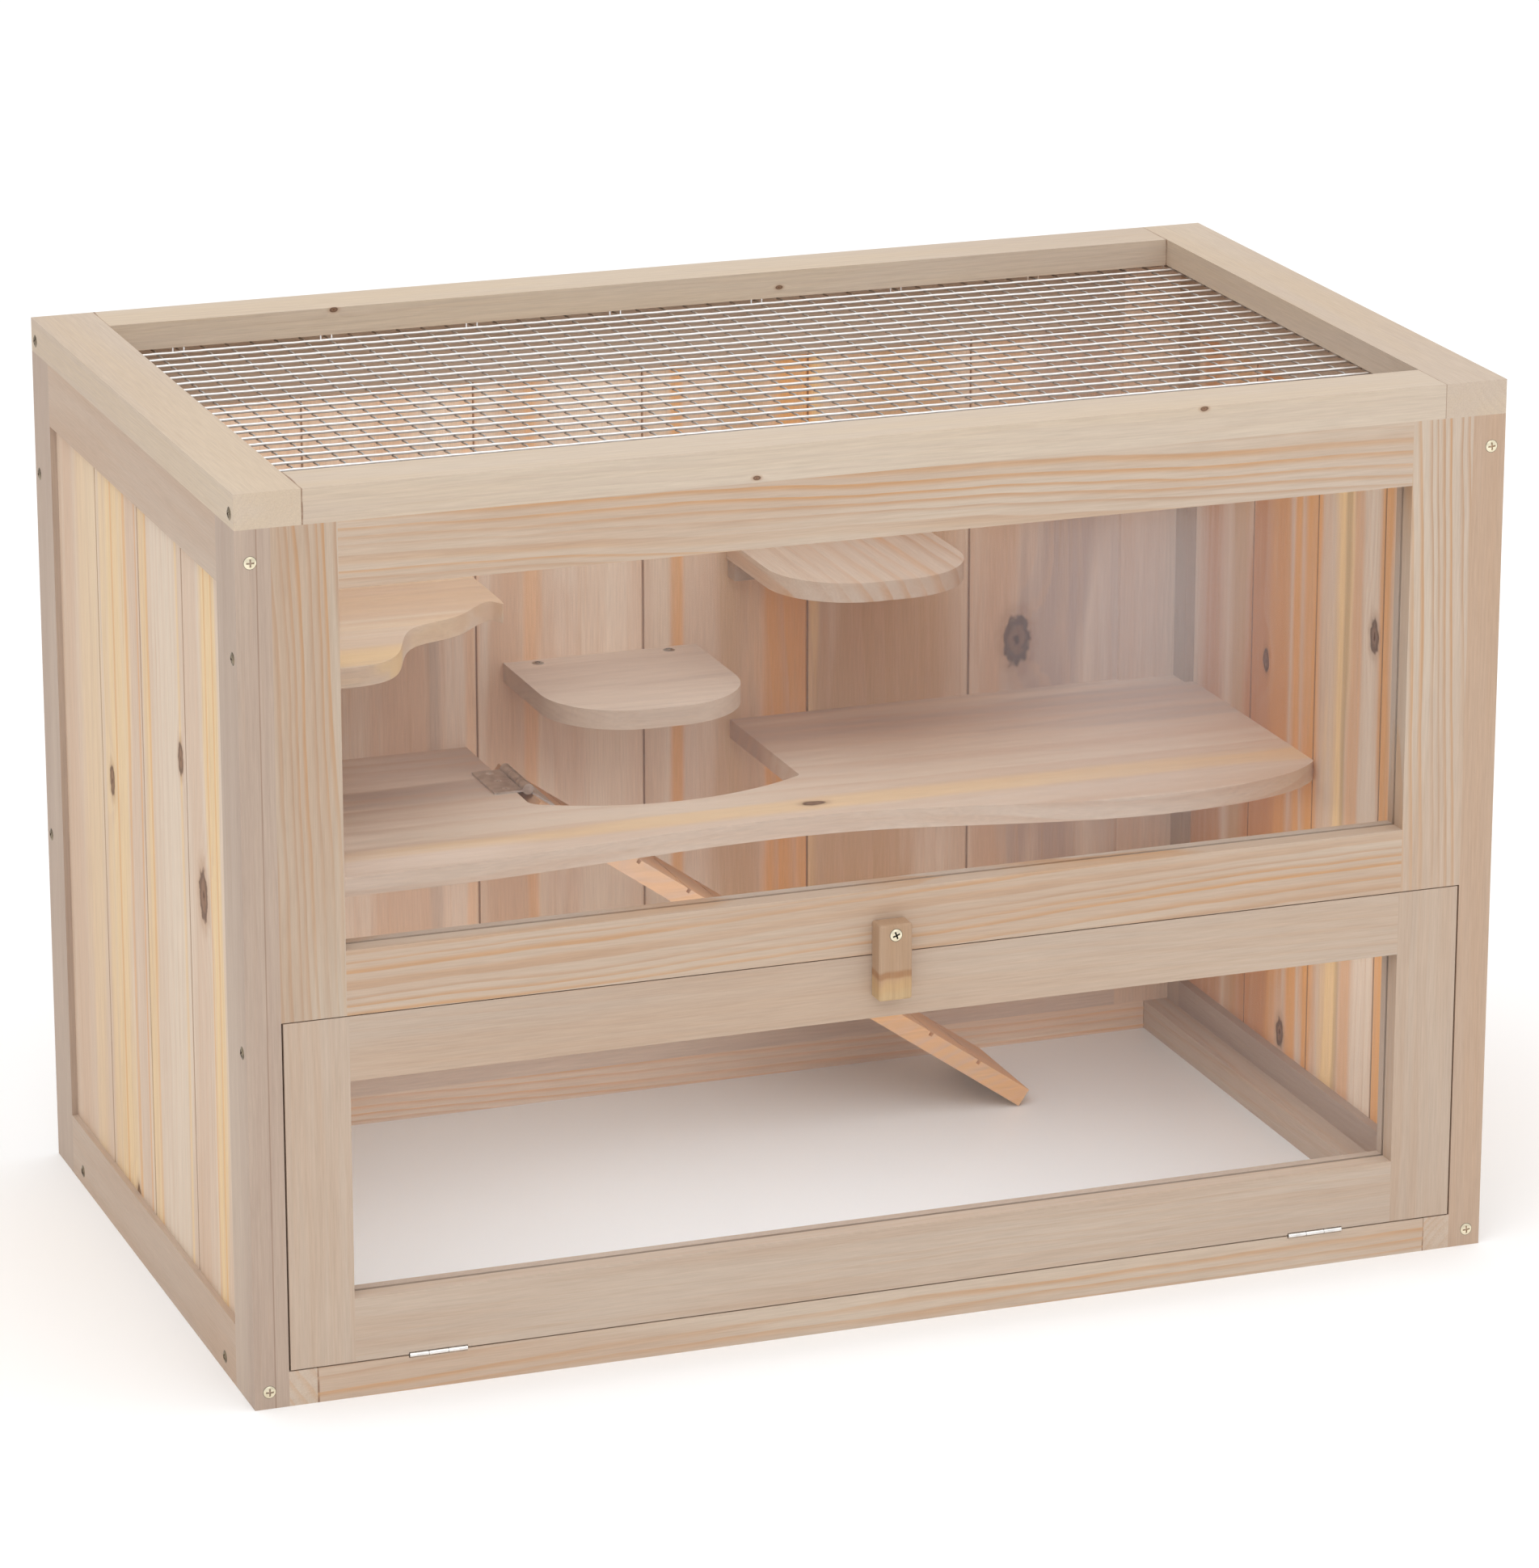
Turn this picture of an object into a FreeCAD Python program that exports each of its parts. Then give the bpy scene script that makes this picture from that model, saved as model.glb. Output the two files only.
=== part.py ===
import FreeCAD, Part
import math
import os

import Sketcher
from FreeCAD import Placement, Rotation, Vector

# A two-storey wooden hamster cage: side and back panels of tongued boards in frames,
# a glazed front panel over a drop-down glazed door, a hinged wire-mesh lid, and inside
# it a storey board with a hinged ramp and three small shelves.
#
# X runs along the front, Y from front to back and Z up. The origin is the middle of the
# cage's footprint, at the bottom of the frame. All sizes are in millimetres.

DIMENSIONS = {
    # whole cage
    "length": 600, "depth": 350, "height": 420,
    # framing timber: thickness, width of a rail or stile
    "wood": 16, "rail": 30,
    # tongued boards: thickness, set-back from the nearer frame face, depth in a groove
    "slat": 8, "recess": 3, "bite": 5,
    "tongue": 3, "tongue_thick": 2.4, "slack": 0.2, "vee": 0.9,
    "side_boards": 4, "back_boards": 6,
    # floor frame and floor sheet
    "floor_rail": 13, "floor_height": 16.4, "floor_sheet": 1.5, "floor_bite": 5,
    # front panel and door
    "front_base": 180, "pane": 2, "pane_front": 9, "pane_bite": 3,
    "door_side_gap": 0.9, "door_foot_gap": 0.6, "door_head_gap": 0.5,
    "door_bevel_deep": 10, "door_bevel_high": 0.7,
    # shelves
    "shelf": 9.6, "storey_top": 190, "low_top": 231, "high_top": 283,
    "perch_width": 100, "perch_depth": 100, "perch_corner": 42,
    "low_perch_left": -72.5, "high_perch_left": 43.5,
    "corner_left": -196, "corner_right": -95, "corner_front": 7.5, "corner_near": 117,
    # battens below the shelves: section, and their lengths and places along the back
    "cleat_deep": 10, "cleat_high": 9.5, "cleat_gap": 2, "cleat_screw": 6,
    "low_cleat_inset": 11, "high_cleat_inset": 1, "corner_cleat": 144,
    "left_cleat": 150, "right_cleat": 180, "right_cleat_gap": 12,
    # front edge of the storey board: distance from the front face of the cage
    "wave_left": 160.5, "wave_crest": 171.3, "wave_trough": 146.7, "wave_right": 174,
    "wave_end_slope": 1.4, "wave_flat_at": -140, "wave_crest_at": 55, "wave_trough_at": 208,
    # stair opening in the storey board
    "notch_left": -92, "notch_right": 45.5, "notch_front": 217.5, "notch_bow": 128,
    "notch_left_round": 8, "notch_right_round": 3,
    # ramp
    "ramp_width": 66, "ramp_front": 246, "ramp_angle": 35, "ramp_start": 4, "ramp_clear": 0.3,
    "tread_pitch": 31, "tread_first": 33, "tread_wide": 2, "tread_deep": 2, "treads": 9,
    # hinge between storey board and ramp
    "pivot_x": -86.2, "pivot_height": 191, "ramp_hinge_front": 257, "ramp_hinge_long": 36,
    "ramp_leaf_wide": 17, "ramp_leaf": 1, "ramp_barrel": 2.7, "ramp_pin": 1.2,
    # door hinges
    "door_hinge_at": 214.6, "door_hinge_long": 27, "door_leaf_wide": 14, "door_leaf": 0.5,
    "door_barrel": 1, "door_pin": 0.5,
    # lid hinges
    "lid_hinge_at": 200, "lid_hinge_long": 40, "lid_leaf_wide": 15, "lid_leaf": 1,
    "lid_barrel": 2.5, "lid_pin": 1.2, "lid_hinge_off": 2.6,
    "pin_clear": 0.04, "knuckle_gap": 0.3,
    "ramp_holes": 9.5, "door_holes": 8, "lid_holes": 9.5,
    # lid mesh
    "wire": 1.2, "mesh_pitch": 12.1, "long_wires": 26, "cross_wires": 46,
    "mesh_edge": 21.5, "mesh_low": 0.3, "rebate_wide": 10, "rebate_high": 3,
    "staple_wire": 0.6, "staple_half": 3, "staple_leg": 8,
    "staple_inset": 27, "staple_shift": 2, "staple_first": 3, "cross_step": 6, "long_step": 5,
    # turn button
    "button_wide": 16, "button_long": 36, "button_thick": 9.2, "button_top": 196,
    "button_pivot": 191, "button_gap": 0.3, "button_round": 1.2,
    # wood screws: head radius, shank radius, rise of the head
    "screw_head": 3, "screw_shank": 1.5, "screw_rise": 0.7, "screw_sink": 1.8,
    "small_head": 2, "small_shank": 1, "small_sink": 1,
    # screw lengths
    "stile_screw": 34, "short_screw": 14, "foot_screw": 26, "front_screw": 24,
    "button_screw": 23, "lid_screw": 38, "shelf_screw": 16, "ramp_screw": 8,
    "lid_leaf_screw": 12, "door_leaf_screw": 10,
    # screw places: in from an edge, along a side panel's foot, and heights
    "screw_edge": 7, "foot_screw_at": 126.5, "foot_screw_height": 7.5,
    "upper_screw": 345.4, "middle_screw": 166, "front_screw_edge": 6.8,
    "front_screw_high": 389.2, "front_screw_low": 8, "lid_screw_drop": 10, "perch_screw_edge": 16,
}

# The S-shaped free edge of the corner shelf, between its front edge and its right end.
CORNER_EDGE = [(-174, 15), (-161, 39), (-147, 63), (-120, 76.5), (-100, 93)]

# Screws into the shelf battens: places along X, and the turn of each head's cross.
CORNER_SCREWS = ((-240, 30), (-122, 55))
STOREY_SCREWS = ((-230, 0), (-125, 40), (75, 10), (220, 65))

TINY = 1e-6

doc = FreeCAD.newDocument("hamster_cage")
sheet = doc.addObject("Spreadsheet::Sheet", "D")
for row, (alias, value) in enumerate(DIMENSIONS.items(), start=1):
    sheet.set(f"A{row}", alias)
    sheet.set(f"B{row}", str(value))
    sheet.setAlias(f"B{row}", alias)
doc.recompute()

nodes = []


def size(alias):
    """The number in one cell of the sheet."""
    return float(sheet.get(alias))


def number(expression):
    """What an expression over the sheet's cells comes to now."""
    value = sheet.evalExpression(str(expression))
    return float(getattr(value, "Value", value))


def bind(item, **sizes):
    for name, expression in sizes.items():
        item.setExpression(name, str(expression))


def place(item, at, rotation=None):
    """Puts an object's own origin at three expressions, turned by a rotation."""
    item.Placement = Placement(Vector(0, 0, 0), rotation or Rotation())
    for axis, expression in zip("xyz", at):
        item.setExpression(f"Placement.Base.{axis}", str(expression))


def finish(item, name):
    """Makes an object a sub-part of the cage."""
    item.Label = name
    nodes.append(item)
    return item


def block(name, along, across, up, at=(0, 0, 0)):
    box = doc.addObject("Part::Box", name)
    bind(box, Length=along, Width=across, Height=up)
    place(box, at)
    return box


def round_bar(name, radius, long, at, rotation):
    bar = doc.addObject("Part::Cylinder", name)
    bind(bar, Radius=radius, Height=long)
    place(bar, at, rotation)
    return bar


def joined(name, pieces):
    if len(pieces) == 1:
        return pieces[0]
    fuse = doc.addObject("Part::MultiFuse", name)
    fuse.Shapes = pieces
    return fuse


def less(name, base, tools):
    if not tools:
        return base
    cut = doc.addObject("Part::Cut", name)
    cut.Base = base
    cut.Tool = joined(name + "_tools", tools)
    return cut


def timber(name, along, across, up, at, add=(), cut=(), tools=()):
    """A straight piece with one corner at its own origin, blocks added and blocks cut."""
    pieces = [block(name + "_blank", along, across, up)]
    for index, (sizes, corner) in enumerate(add):
        pieces.append(block(f"{name}_tenon_{index}", *sizes, corner))
    tools = list(tools)
    for index, (sizes, corner) in enumerate(cut):
        tools.append(block(f"{name}_cut_{index}", *sizes, corner))
    piece = less(name + "_cut", joined(name + "_joined", pieces), tools)
    place(piece, at)
    return finish(piece, name)


def body_on(plane, name):
    """A new body and a sketch on one of its origin planes."""
    body = doc.addObject("PartDesign::Body", name)
    sketch = body.newObject("Sketcher::SketchObject", name + "_outline")
    flat = [item for item in body.Origin.OriginFeatures if item.Role == plane][0]
    sketch.AttachmentSupport = (flat, [""])
    sketch.MapMode = "FlatFace"
    return body, sketch


def draw_polygon(sketch, points):
    """A closed polygon whose corners are all driven by expressions."""
    corners = [Vector(number(u), number(v), 0) for u, v in points]
    for index, start in enumerate(corners):
        end = corners[(index + 1) % len(corners)]
        sketch.addGeometry(Part.LineSegment(start, end), False)
    for index in range(len(corners)):
        sketch.addConstraint(Sketcher.Constraint("Coincident", index, 2, (index + 1) % len(corners), 1))
    for index, (corner, point) in enumerate(zip(corners, points)):
        for kind, axis, value, expression in (
            ("DistanceX", -2, corner.x, point[0]),
            ("DistanceY", -1, corner.y, point[1]),
        ):
            if abs(value) < TINY:
                sketch.addConstraint(Sketcher.Constraint("PointOnObject", index, 1, axis))
                continue
            at = sketch.addConstraint(Sketcher.Constraint(kind, -1, 1, index, 1, value))
            sketch.setExpression(f"Constraints[{at}]", str(expression))


def draw_outline(sketch, curves):
    """A closed outline of lines, arcs and splines, each joined to the next where they meet."""
    for curve in curves:
        sketch.addGeometry(curve, False)
    ends = [(curve.StartPoint, curve.EndPoint) for curve in sketch.Geometry]
    for index, here in enumerate(ends):
        following = (index + 1) % len(ends)
        for side, other in ((0, 0), (0, 1), (1, 0), (1, 1)):
            if here[side].distanceToPoint(ends[following][other]) < TINY:
                meet = Sketcher.Constraint("Coincident", index, side + 1, following, other + 1)
                sketch.addConstraint(meet)
                break


def padded(name, body, sketch, thick):
    pad = body.newObject("PartDesign::Pad", name + "_pad")
    pad.Profile = sketch
    bind(pad, Length=thick)
    sketch.Visibility = False
    return pad


def line(*points):
    return [Part.LineSegment(Vector(*a, 0), Vector(*b, 0)) for a, b in zip(points, points[1:])]


# ---------------------------------------------------------------- side and back panels

def slat_section(width, first, last):
    """Section of a tongued board: across its width, and through its thickness."""
    low = "(D.slat - D.tongue_thick) / 2"
    high = "(D.slat + D.tongue_thick) / 2"
    top = "D.slat"
    points = [("D.vee", 0), (f"{width} - D.vee", 0), (width, "D.vee")]
    if not last:
        points += [(width, low), (f"{width} + D.tongue", low), (f"{width} + D.tongue", high), (width, high)]
    points += [(width, f"{top} - D.vee"), (f"{width} - D.vee", top), ("D.vee", top), (0, f"{top} - D.vee")]
    if not first:
        wide = "D.tongue + D.slack"
        points += [(0, f"{high} + D.slack"), (wide, f"{high} + D.slack")]
        points += [(wide, f"{low} - D.slack"), (0, f"{low} - D.slack")]
    return points + [(0, "D.vee")]


def slat(name, width, tall, at, turned, first, last):
    body, sketch = body_on("XY_Plane", name)
    draw_polygon(sketch, slat_section(width, first, last))
    padded(name, body, sketch, tall)
    place(body, at, Rotation(Vector(0, 0, 1), turned))
    return body


def side_panel(side, edge, slot):
    """Frame and boards of one side. edge is its lower X, slot the groove's X inside it."""
    tall = "D.height - D.wood"
    between = "D.depth - 2 * D.rail"
    front = "-D.depth / 2"
    for part, at, groove in (
        ("front_stile", front, "D.rail - D.bite"),
        ("back_stile", "D.depth / 2 - D.rail", 0),
    ):
        timber(f"{side}_{part}", "D.wood", "D.rail", tall, (edge, at, 0),
               cut=[(("D.slat", "D.bite", tall), (slot, groove, 0))])
    for part, at, groove in (
        ("top_rail", f"{tall} - D.rail", 0),
        ("bottom_rail", 0, "D.rail - D.bite"),
    ):
        tenon = ("D.slat", "D.bite", "D.rail")
        timber(f"{side}_{part}", "D.wood", between, "D.rail", (edge, f"{front} + D.rail", at),
               add=[(tenon, (slot, "-D.bite", 0)), (tenon, (slot, between, 0))],
               cut=[(("D.slat", f"{between} + 2 * D.bite", "D.bite"), (slot, "-D.bite", groove))])
    inset = "(D.rail - D.bite)"
    wide = f"(D.depth - 2 * {inset}) / D.side_boards"
    count = int(size("side_boards"))
    slats = []
    for index in range(count):
        # A quarter turn runs the section along Y and puts its thickness on the -X side.
        at = (f"{edge} + {slot} + D.slat", f"{front} + {inset} + {index} * {wide}", inset)
        slats.append(slat(f"{side}_slat_{index + 1}", wide, f"{tall} - 2 * {inset}", at, 90,
                          index == 0, index == count - 1))
    group = doc.addObject("Part::Compound", f"{side}_slats")
    group.Links = slats
    finish(group, f"{side}_boards")


def back_panel():
    tall = "D.height - D.wood - D.floor_height"
    inner = "D.length / 2 - D.wood"
    face = "D.depth / 2 - D.wood"
    for side, at, groove in (
        ("left", f"-({inner})", "D.rail - D.bite"),
        ("right", f"{inner} - D.rail", 0),
    ):
        timber(f"back_{side}_stile", "D.rail", "D.wood", tall, (at, face, "D.floor_height"),
               cut=[(("D.bite", "D.slat", tall), (groove, "D.recess", 0))])
    between = "D.length - 2 * D.wood - 2 * D.rail"
    tenon = ("D.bite", "D.slat", "D.rail")
    inset = "(D.rail - D.bite)"
    for part, at, groove in (
        ("top_rail", "D.height - D.wood - D.rail", 0),
        ("bottom_rail", "D.floor_height", inset),
    ):
        timber(f"back_{part}", between, "D.wood", "D.rail", (f"-({between}) / 2", face, at),
               add=[(tenon, ("-D.bite", "D.recess", 0)), (tenon, (between, "D.recess", 0))],
               cut=[((f"{between} + 2 * D.bite", "D.slat", "D.bite"), ("-D.bite", "D.recess", groove))])
    wide = f"({between} + 2 * D.bite) / D.back_boards"
    count = int(size("back_boards"))
    for index in range(count):
        at = (f"-({between}) / 2 - D.bite + {index} * {wide}", f"{face} + D.recess",
              f"D.floor_height + {inset}")
        board = slat(f"back_slat_{index + 1}", wide, f"{tall} - 2 * {inset}", at, 0,
                     index == 0, index == count - 1)
        finish(board, f"back_board_{index + 1}")


# ---------------------------------------------------------------- glazed front and door

def glazed_frame(prefix, left, right, low, high, cuts=None, tools=None):
    """Two stiles, two rails and a pane between the X and Z limits given.

    cuts and tools hold further blocks and objects to cut, by the piece's name.
    """
    cuts = cuts or {}
    tools = tools or {}
    face = "-D.depth / 2"
    tall = f"(({high}) - ({low}))"
    between = f"(({right}) - ({left}) - 2 * D.rail)"
    tongue = ("D.pane_bite", "D.pane", "D.rail")
    tongues = [(tongue, ("-D.pane_bite", "D.pane_front", 0)), (tongue, (between, "D.pane_front", 0))]
    for side, at, groove in (
        ("left", left, "D.rail - D.pane_bite"),
        ("right", f"({right}) - D.rail", 0),
    ):
        name = f"{prefix}_{side}_stile"
        slot = (("D.pane_bite", "D.pane", tall), (groove, "D.pane_front", 0))
        timber(name, "D.rail", "D.wood", tall, (at, face, low),
               cut=[slot] + cuts.get(name, []), tools=tools.get(name, []))
    for side, at, groove in (
        ("top", f"({high}) - D.rail", 0),
        ("bottom", low, "D.rail - D.pane_bite"),
    ):
        name = f"{prefix}_{side}_rail"
        slot = ((f"{between} + 2 * D.pane_bite", "D.pane", "D.pane_bite"),
                ("-D.pane_bite", "D.pane_front", groove))
        timber(name, between, "D.wood", "D.rail", (f"({left}) + D.rail", face, at),
               add=tongues, cut=[slot] + cuts.get(name, []), tools=tools.get(name, []))
    edge = "(D.rail - D.pane_bite)"
    pane = block(f"{prefix}_pane", f"({right}) - ({left}) - 2 * {edge}", "D.pane", f"{tall} - 2 * {edge}",
                 (f"({left}) + {edge}", f"{face} + D.pane_front", f"({low}) + {edge}"))
    finish(pane, f"{prefix}_window")


def bevel_tool(name, long, top):
    """A tilted block that takes the door's rear top corner off, so that it clears the panel."""
    tool = doc.addObject("Part::Box", name)
    bind(tool, Length=long, Width="D.wood", Height="D.rail")
    tilt = math.degrees(math.atan2(size("door_bevel_high"), size("door_bevel_deep")))
    place(tool, (0, "D.wood - D.door_bevel_deep", top), Rotation(Vector(1, 0, 0), -tilt))
    return tool


def front_panel():
    inner = "(D.length / 2 - D.wood)"
    glazed_frame("front", f"-{inner}", inner, "D.front_base", "D.height - D.wood")


def hinge_seats(middle, leaf_at, cove_at):
    """Shallow seats for two door hinges, about a timber's local middle: leaf and knuckle."""
    long = "D.door_hinge_long + 2 * D.knuckle_gap"
    cove = "D.door_barrel + D.knuckle_gap"
    seats = []
    for side in ("-", "+"):
        start = f"{middle} {side} D.door_hinge_at - D.door_hinge_long / 2 - D.knuckle_gap"
        seats.append(((long, "D.door_leaf_wide + D.knuckle_gap", "D.door_leaf"), (start, 0, leaf_at)))
        seats.append(((long, cove, "D.door_barrel"), (start, 0, cove_at)))
    return seats


def door():
    half = "(D.length / 2 - D.wood - D.door_side_gap)"
    low = "D.floor_height + D.door_foot_gap"
    high = "D.front_base - D.door_head_gap"
    middle = f"({half} - D.rail)"
    tall = f"({high}) - ({low})"
    tools = {
        "door_left_stile": [bevel_tool("door_left_bevel", "D.rail", tall)],
        "door_right_stile": [bevel_tool("door_right_bevel", "D.rail", tall)],
        "door_top_rail": [bevel_tool("door_top_bevel", f"2 * {middle}", "D.rail")],
    }
    cuts = {"door_bottom_rail": hinge_seats(middle, 0, 0)}
    glazed_frame("door", f"-{half}", half, low, high, cuts, tools)


def floor_frame():
    """Four rails with a rebate below that holds the floor sheet flush with their underside."""
    edge = "(D.length / 2 - D.wood)"
    front = "-D.depth / 2"
    high = "D.floor_height"
    for side, at, rebate in (
        ("left", f"-{edge}", "D.floor_rail - D.floor_bite"),
        ("right", f"{edge} - D.floor_rail", 0),
    ):
        timber(f"floor_{side}_rail", "D.floor_rail", "D.depth", high, (at, front, 0),
               cut=[(("D.floor_bite", "D.depth - 2 * D.wood + 2 * D.floor_bite", "D.floor_sheet"),
                     (rebate, "D.wood - D.floor_bite", 0))])
    long = f"2 * ({edge} - D.floor_rail)"
    seats = hinge_seats(f"({long}) / 2", f"{high} - D.door_leaf", f"{high} - D.door_barrel")
    for side, at, rebate, more in (
        ("front", front, "D.wood - D.floor_bite", seats),
        ("back", "D.depth / 2 - D.wood", 0, []),
    ):
        timber(f"floor_{side}_rail", long, "D.wood", high, (f"-({long}) / 2", at, 0),
               cut=[((long, "D.floor_bite", "D.floor_sheet"), (0, rebate, 0))] + more)
    sheet_long = f"{long} + 2 * D.floor_bite"
    sheet_wide = "D.depth - 2 * D.wood + 2 * D.floor_bite"
    finish(block("floor_board", sheet_long, sheet_wide, "D.floor_sheet",
                 (f"-({sheet_long}) / 2", f"-({sheet_wide}) / 2", 0)), "floor_sheet")


# ---------------------------------------------------------------- storey board and shelves

def inner_corners():
    """X of the side boards' and stiles' inner faces, Y of the back boards' and stiles'."""
    side_stile = size("length") / 2 - size("wood")
    side_board = side_stile + size("wood") - size("recess") - size("slat")
    back_stile = size("depth") / 2 - size("wood")
    back_board = back_stile + size("recess")
    return side_stile, side_board, back_stile, back_board


def corner_steps(sign):
    """Points along a rear corner, round the stiles, from the side boards to the back boards."""
    side_stile, side_board, back_stile, back_board = inner_corners()
    stile_front = size("depth") / 2 - size("rail")
    stile_end = side_stile - size("rail")
    return [
        (sign * side_board, stile_front),
        (sign * side_stile, stile_front),
        (sign * side_stile, back_stile),
        (sign * stile_end, back_stile),
        (sign * stile_end, back_board),
    ]


def smooth(points, start, end):
    """A spline through points that leaves and arrives along two directions."""
    curve = Part.BSplineCurve()
    curve.interpolate(Points=[Vector(*p, 0) for p in points],
                      InitialTangent=Vector(*start, 0), FinalTangent=Vector(*end, 0))
    return curve


def arc_about(centre, radius, first, last):
    """A round corner between two angles in degrees, anticlockwise."""
    circle = Part.Circle(Vector(*centre, 0), Vector(0, 0, 1), radius)
    return Part.ArcOfCircle(circle, math.radians(first), math.radians(last))


def shelf_from(name, curves, top, at=("0", "0")):
    body, sketch = body_on("XY_Plane", name)
    draw_outline(sketch, curves)
    padded(name, body, sketch, "D.shelf")
    place(body, (*at, f"{top} - D.shelf"))
    return finish(body, name)


def storey_board():
    """The upper floor: a waved front edge and a bow-fronted opening against the back."""
    front = -size("depth") / 2
    side_board = inner_corners()[1]
    back = inner_corners()[3]
    wave = smooth(
        [
            (-side_board, front + size("wave_left")),
            (size("wave_flat_at"), front + size("wave_left")),
            (size("wave_crest_at"), front + size("wave_crest")),
            (size("wave_trough_at"), front + size("wave_trough")),
            (side_board, front + size("wave_right")),
        ],
        (1, 0), (1, size("wave_end_slope")))
    right = line((side_board, front + size("wave_right")), *corner_steps(1), (size("notch_right"), back))
    left = line((size("notch_left"), back), *reversed(corner_steps(-1)),
                (-side_board, front + size("wave_left")))

    # The opening's bowed front is an arc; a small arc inside it rounds each front corner.
    bow = size("notch_bow")
    middle = ((size("notch_left") + size("notch_right")) / 2, front + size("notch_front") + bow)
    corners = []
    for side, small in ((size("notch_right"), size("notch_right_round")),
                        (size("notch_left"), size("notch_left_round"))):
        inward = -1 if side > middle[0] else 1
        x = side + inward * small
        y = middle[1] - math.sqrt((bow - small) ** 2 - (x - middle[0]) ** 2)
        facing = math.degrees(math.atan2(y - middle[1], x - middle[0]))
        corners.append((x, y, small, facing))
    (right_x, right_y, right_small, right_facing), (left_x, left_y, left_small, left_facing) = corners
    notch = line((size("notch_right"), back), (size("notch_right"), right_y))
    notch.append(arc_about((right_x, right_y), right_small, right_facing, 0))
    notch.append(arc_about(middle, bow, left_facing, right_facing))
    notch.append(arc_about((left_x, left_y), left_small, -180, left_facing))
    notch += line((size("notch_left"), left_y), (size("notch_left"), back))
    shelf_from("main_platform", [wave] + right + notch + left, "D.storey_top")


def corner_shelf():
    """The high shelf in the left rear corner, with an S-shaped free edge."""
    side_board = inner_corners()[1]
    back = inner_corners()[3]
    start = (size("corner_left"), size("corner_front"))
    end = (size("corner_right"), size("corner_near"))
    wall = (-side_board, size("corner_front"))
    curves = line(wall, start) + [smooth([start, *CORNER_EDGE, end], (1, 0), (0, 1))]
    curves += line(end, (size("corner_right"), back), *reversed(corner_steps(-1)), wall)
    shelf_from("corner_platform", curves, "D.high_top")


def perch(name, left, top):
    """A half-round shelf against the back boards."""
    wide, deep, small = size("perch_width"), size("perch_depth"), size("perch_corner")
    curves = line((0, deep), (0, small))
    curves.append(arc_about((small, small), small, 180, 270))
    curves += line((small, 0), (wide - small, 0))
    curves.append(arc_about((wide - small, small), small, -90, 0))
    curves += line((wide, small), (wide, deep), (0, deep))
    back = "D.depth / 2 - D.wood + D.recess"
    shelf_from(name, curves, top, (left, f"{back} - D.perch_depth"))


def cleats():
    """Battens under the shelves' rear edges, on the back boards."""
    back = "D.depth / 2 - D.wood + D.recess - D.cleat_deep"
    corner = "-D.length / 2 + D.wood + D.rail + D.cleat_gap"
    low, high = "D.low_cleat_inset", "D.high_cleat_inset"
    runs = [
        (f"D.low_perch_left + {low}", f"D.perch_width - 2 * {low}", "D.low_top"),
        (f"D.high_perch_left + {high}", f"D.perch_width - 2 * {high}", "D.high_top"),
        (corner, "D.corner_cleat", "D.high_top"),
        (corner, "D.left_cleat", "D.storey_top"),
        ("D.notch_right + D.right_cleat_gap", "D.right_cleat", "D.storey_top"),
    ]
    pieces = []
    for index, (start, long, top) in enumerate(runs):
        pieces.append(block(f"cleat_{index + 1}", long, "D.cleat_deep", "D.cleat_high",
                            (start, back, f"{top} - D.shelf - D.cleat_high")))
    group = doc.addObject("Part::Compound", "cleats")
    group.Links = pieces
    finish(group, "shelf_cleats")


def ramp():
    """The stair board: its own X runs down the slope from the hinge, with grooves for grip."""
    body, sketch = body_on("XZ_Plane", "ramp")
    drop = "(D.ramp_leaf + D.shelf)"
    reach = (f"((D.pivot_height - D.floor_sheet - D.ramp_clear - {drop} * cos(D.ramp_angle))"
             " / sin(D.ramp_angle))")
    draw_polygon(sketch, [("D.ramp_start", f"-{drop}"), (reach, f"-{drop}"),
                          (reach, "-D.ramp_leaf"), ("D.ramp_start", "-D.ramp_leaf")])
    padded("ramp", body, sketch, "D.ramp_width")
    doc.recompute()
    plain = body.Shape.Volume

    kerf = body.newObject("Sketcher::SketchObject", "ramp_kerf")
    kerf.AttachmentSupport = sketch.AttachmentSupport
    kerf.MapMode = "FlatFace"
    low = "-D.ramp_leaf - D.tread_deep"
    end = "D.tread_first + D.tread_wide"
    high = "D.ramp_leaf"
    draw_polygon(kerf, [("D.tread_first", low), (end, low), (end, high), ("D.tread_first", high)])
    pocket = body.newObject("PartDesign::Pocket", "ramp_groove")
    pocket.Profile = kerf
    pocket.Type = "ThroughAll"
    pocket.Reversed = True
    doc.recompute()
    if body.Shape.Volume > plain - TINY:
        raise RuntimeError("the ramp's groove cuts nothing")

    row = body.newObject("PartDesign::LinearPattern", "ramp_grooves")
    row.Originals = [pocket]
    along = [item for item in body.Origin.OriginFeatures if item.Role == "X_Axis"][0]
    row.Direction = (along, [""])
    bind(row, Length="D.tread_pitch * (D.treads - 1)", Occurrences="D.treads")
    body.Tip = row
    kerf.Visibility = False
    place(body, ("D.pivot_x", "-D.depth / 2 + D.ramp_front + D.ramp_width", "D.pivot_height"),
          Rotation(Vector(0, 1, 0), size("ramp_angle")))
    finish(body, "ramp_board")


# ---------------------------------------------------------------- hinges

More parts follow.
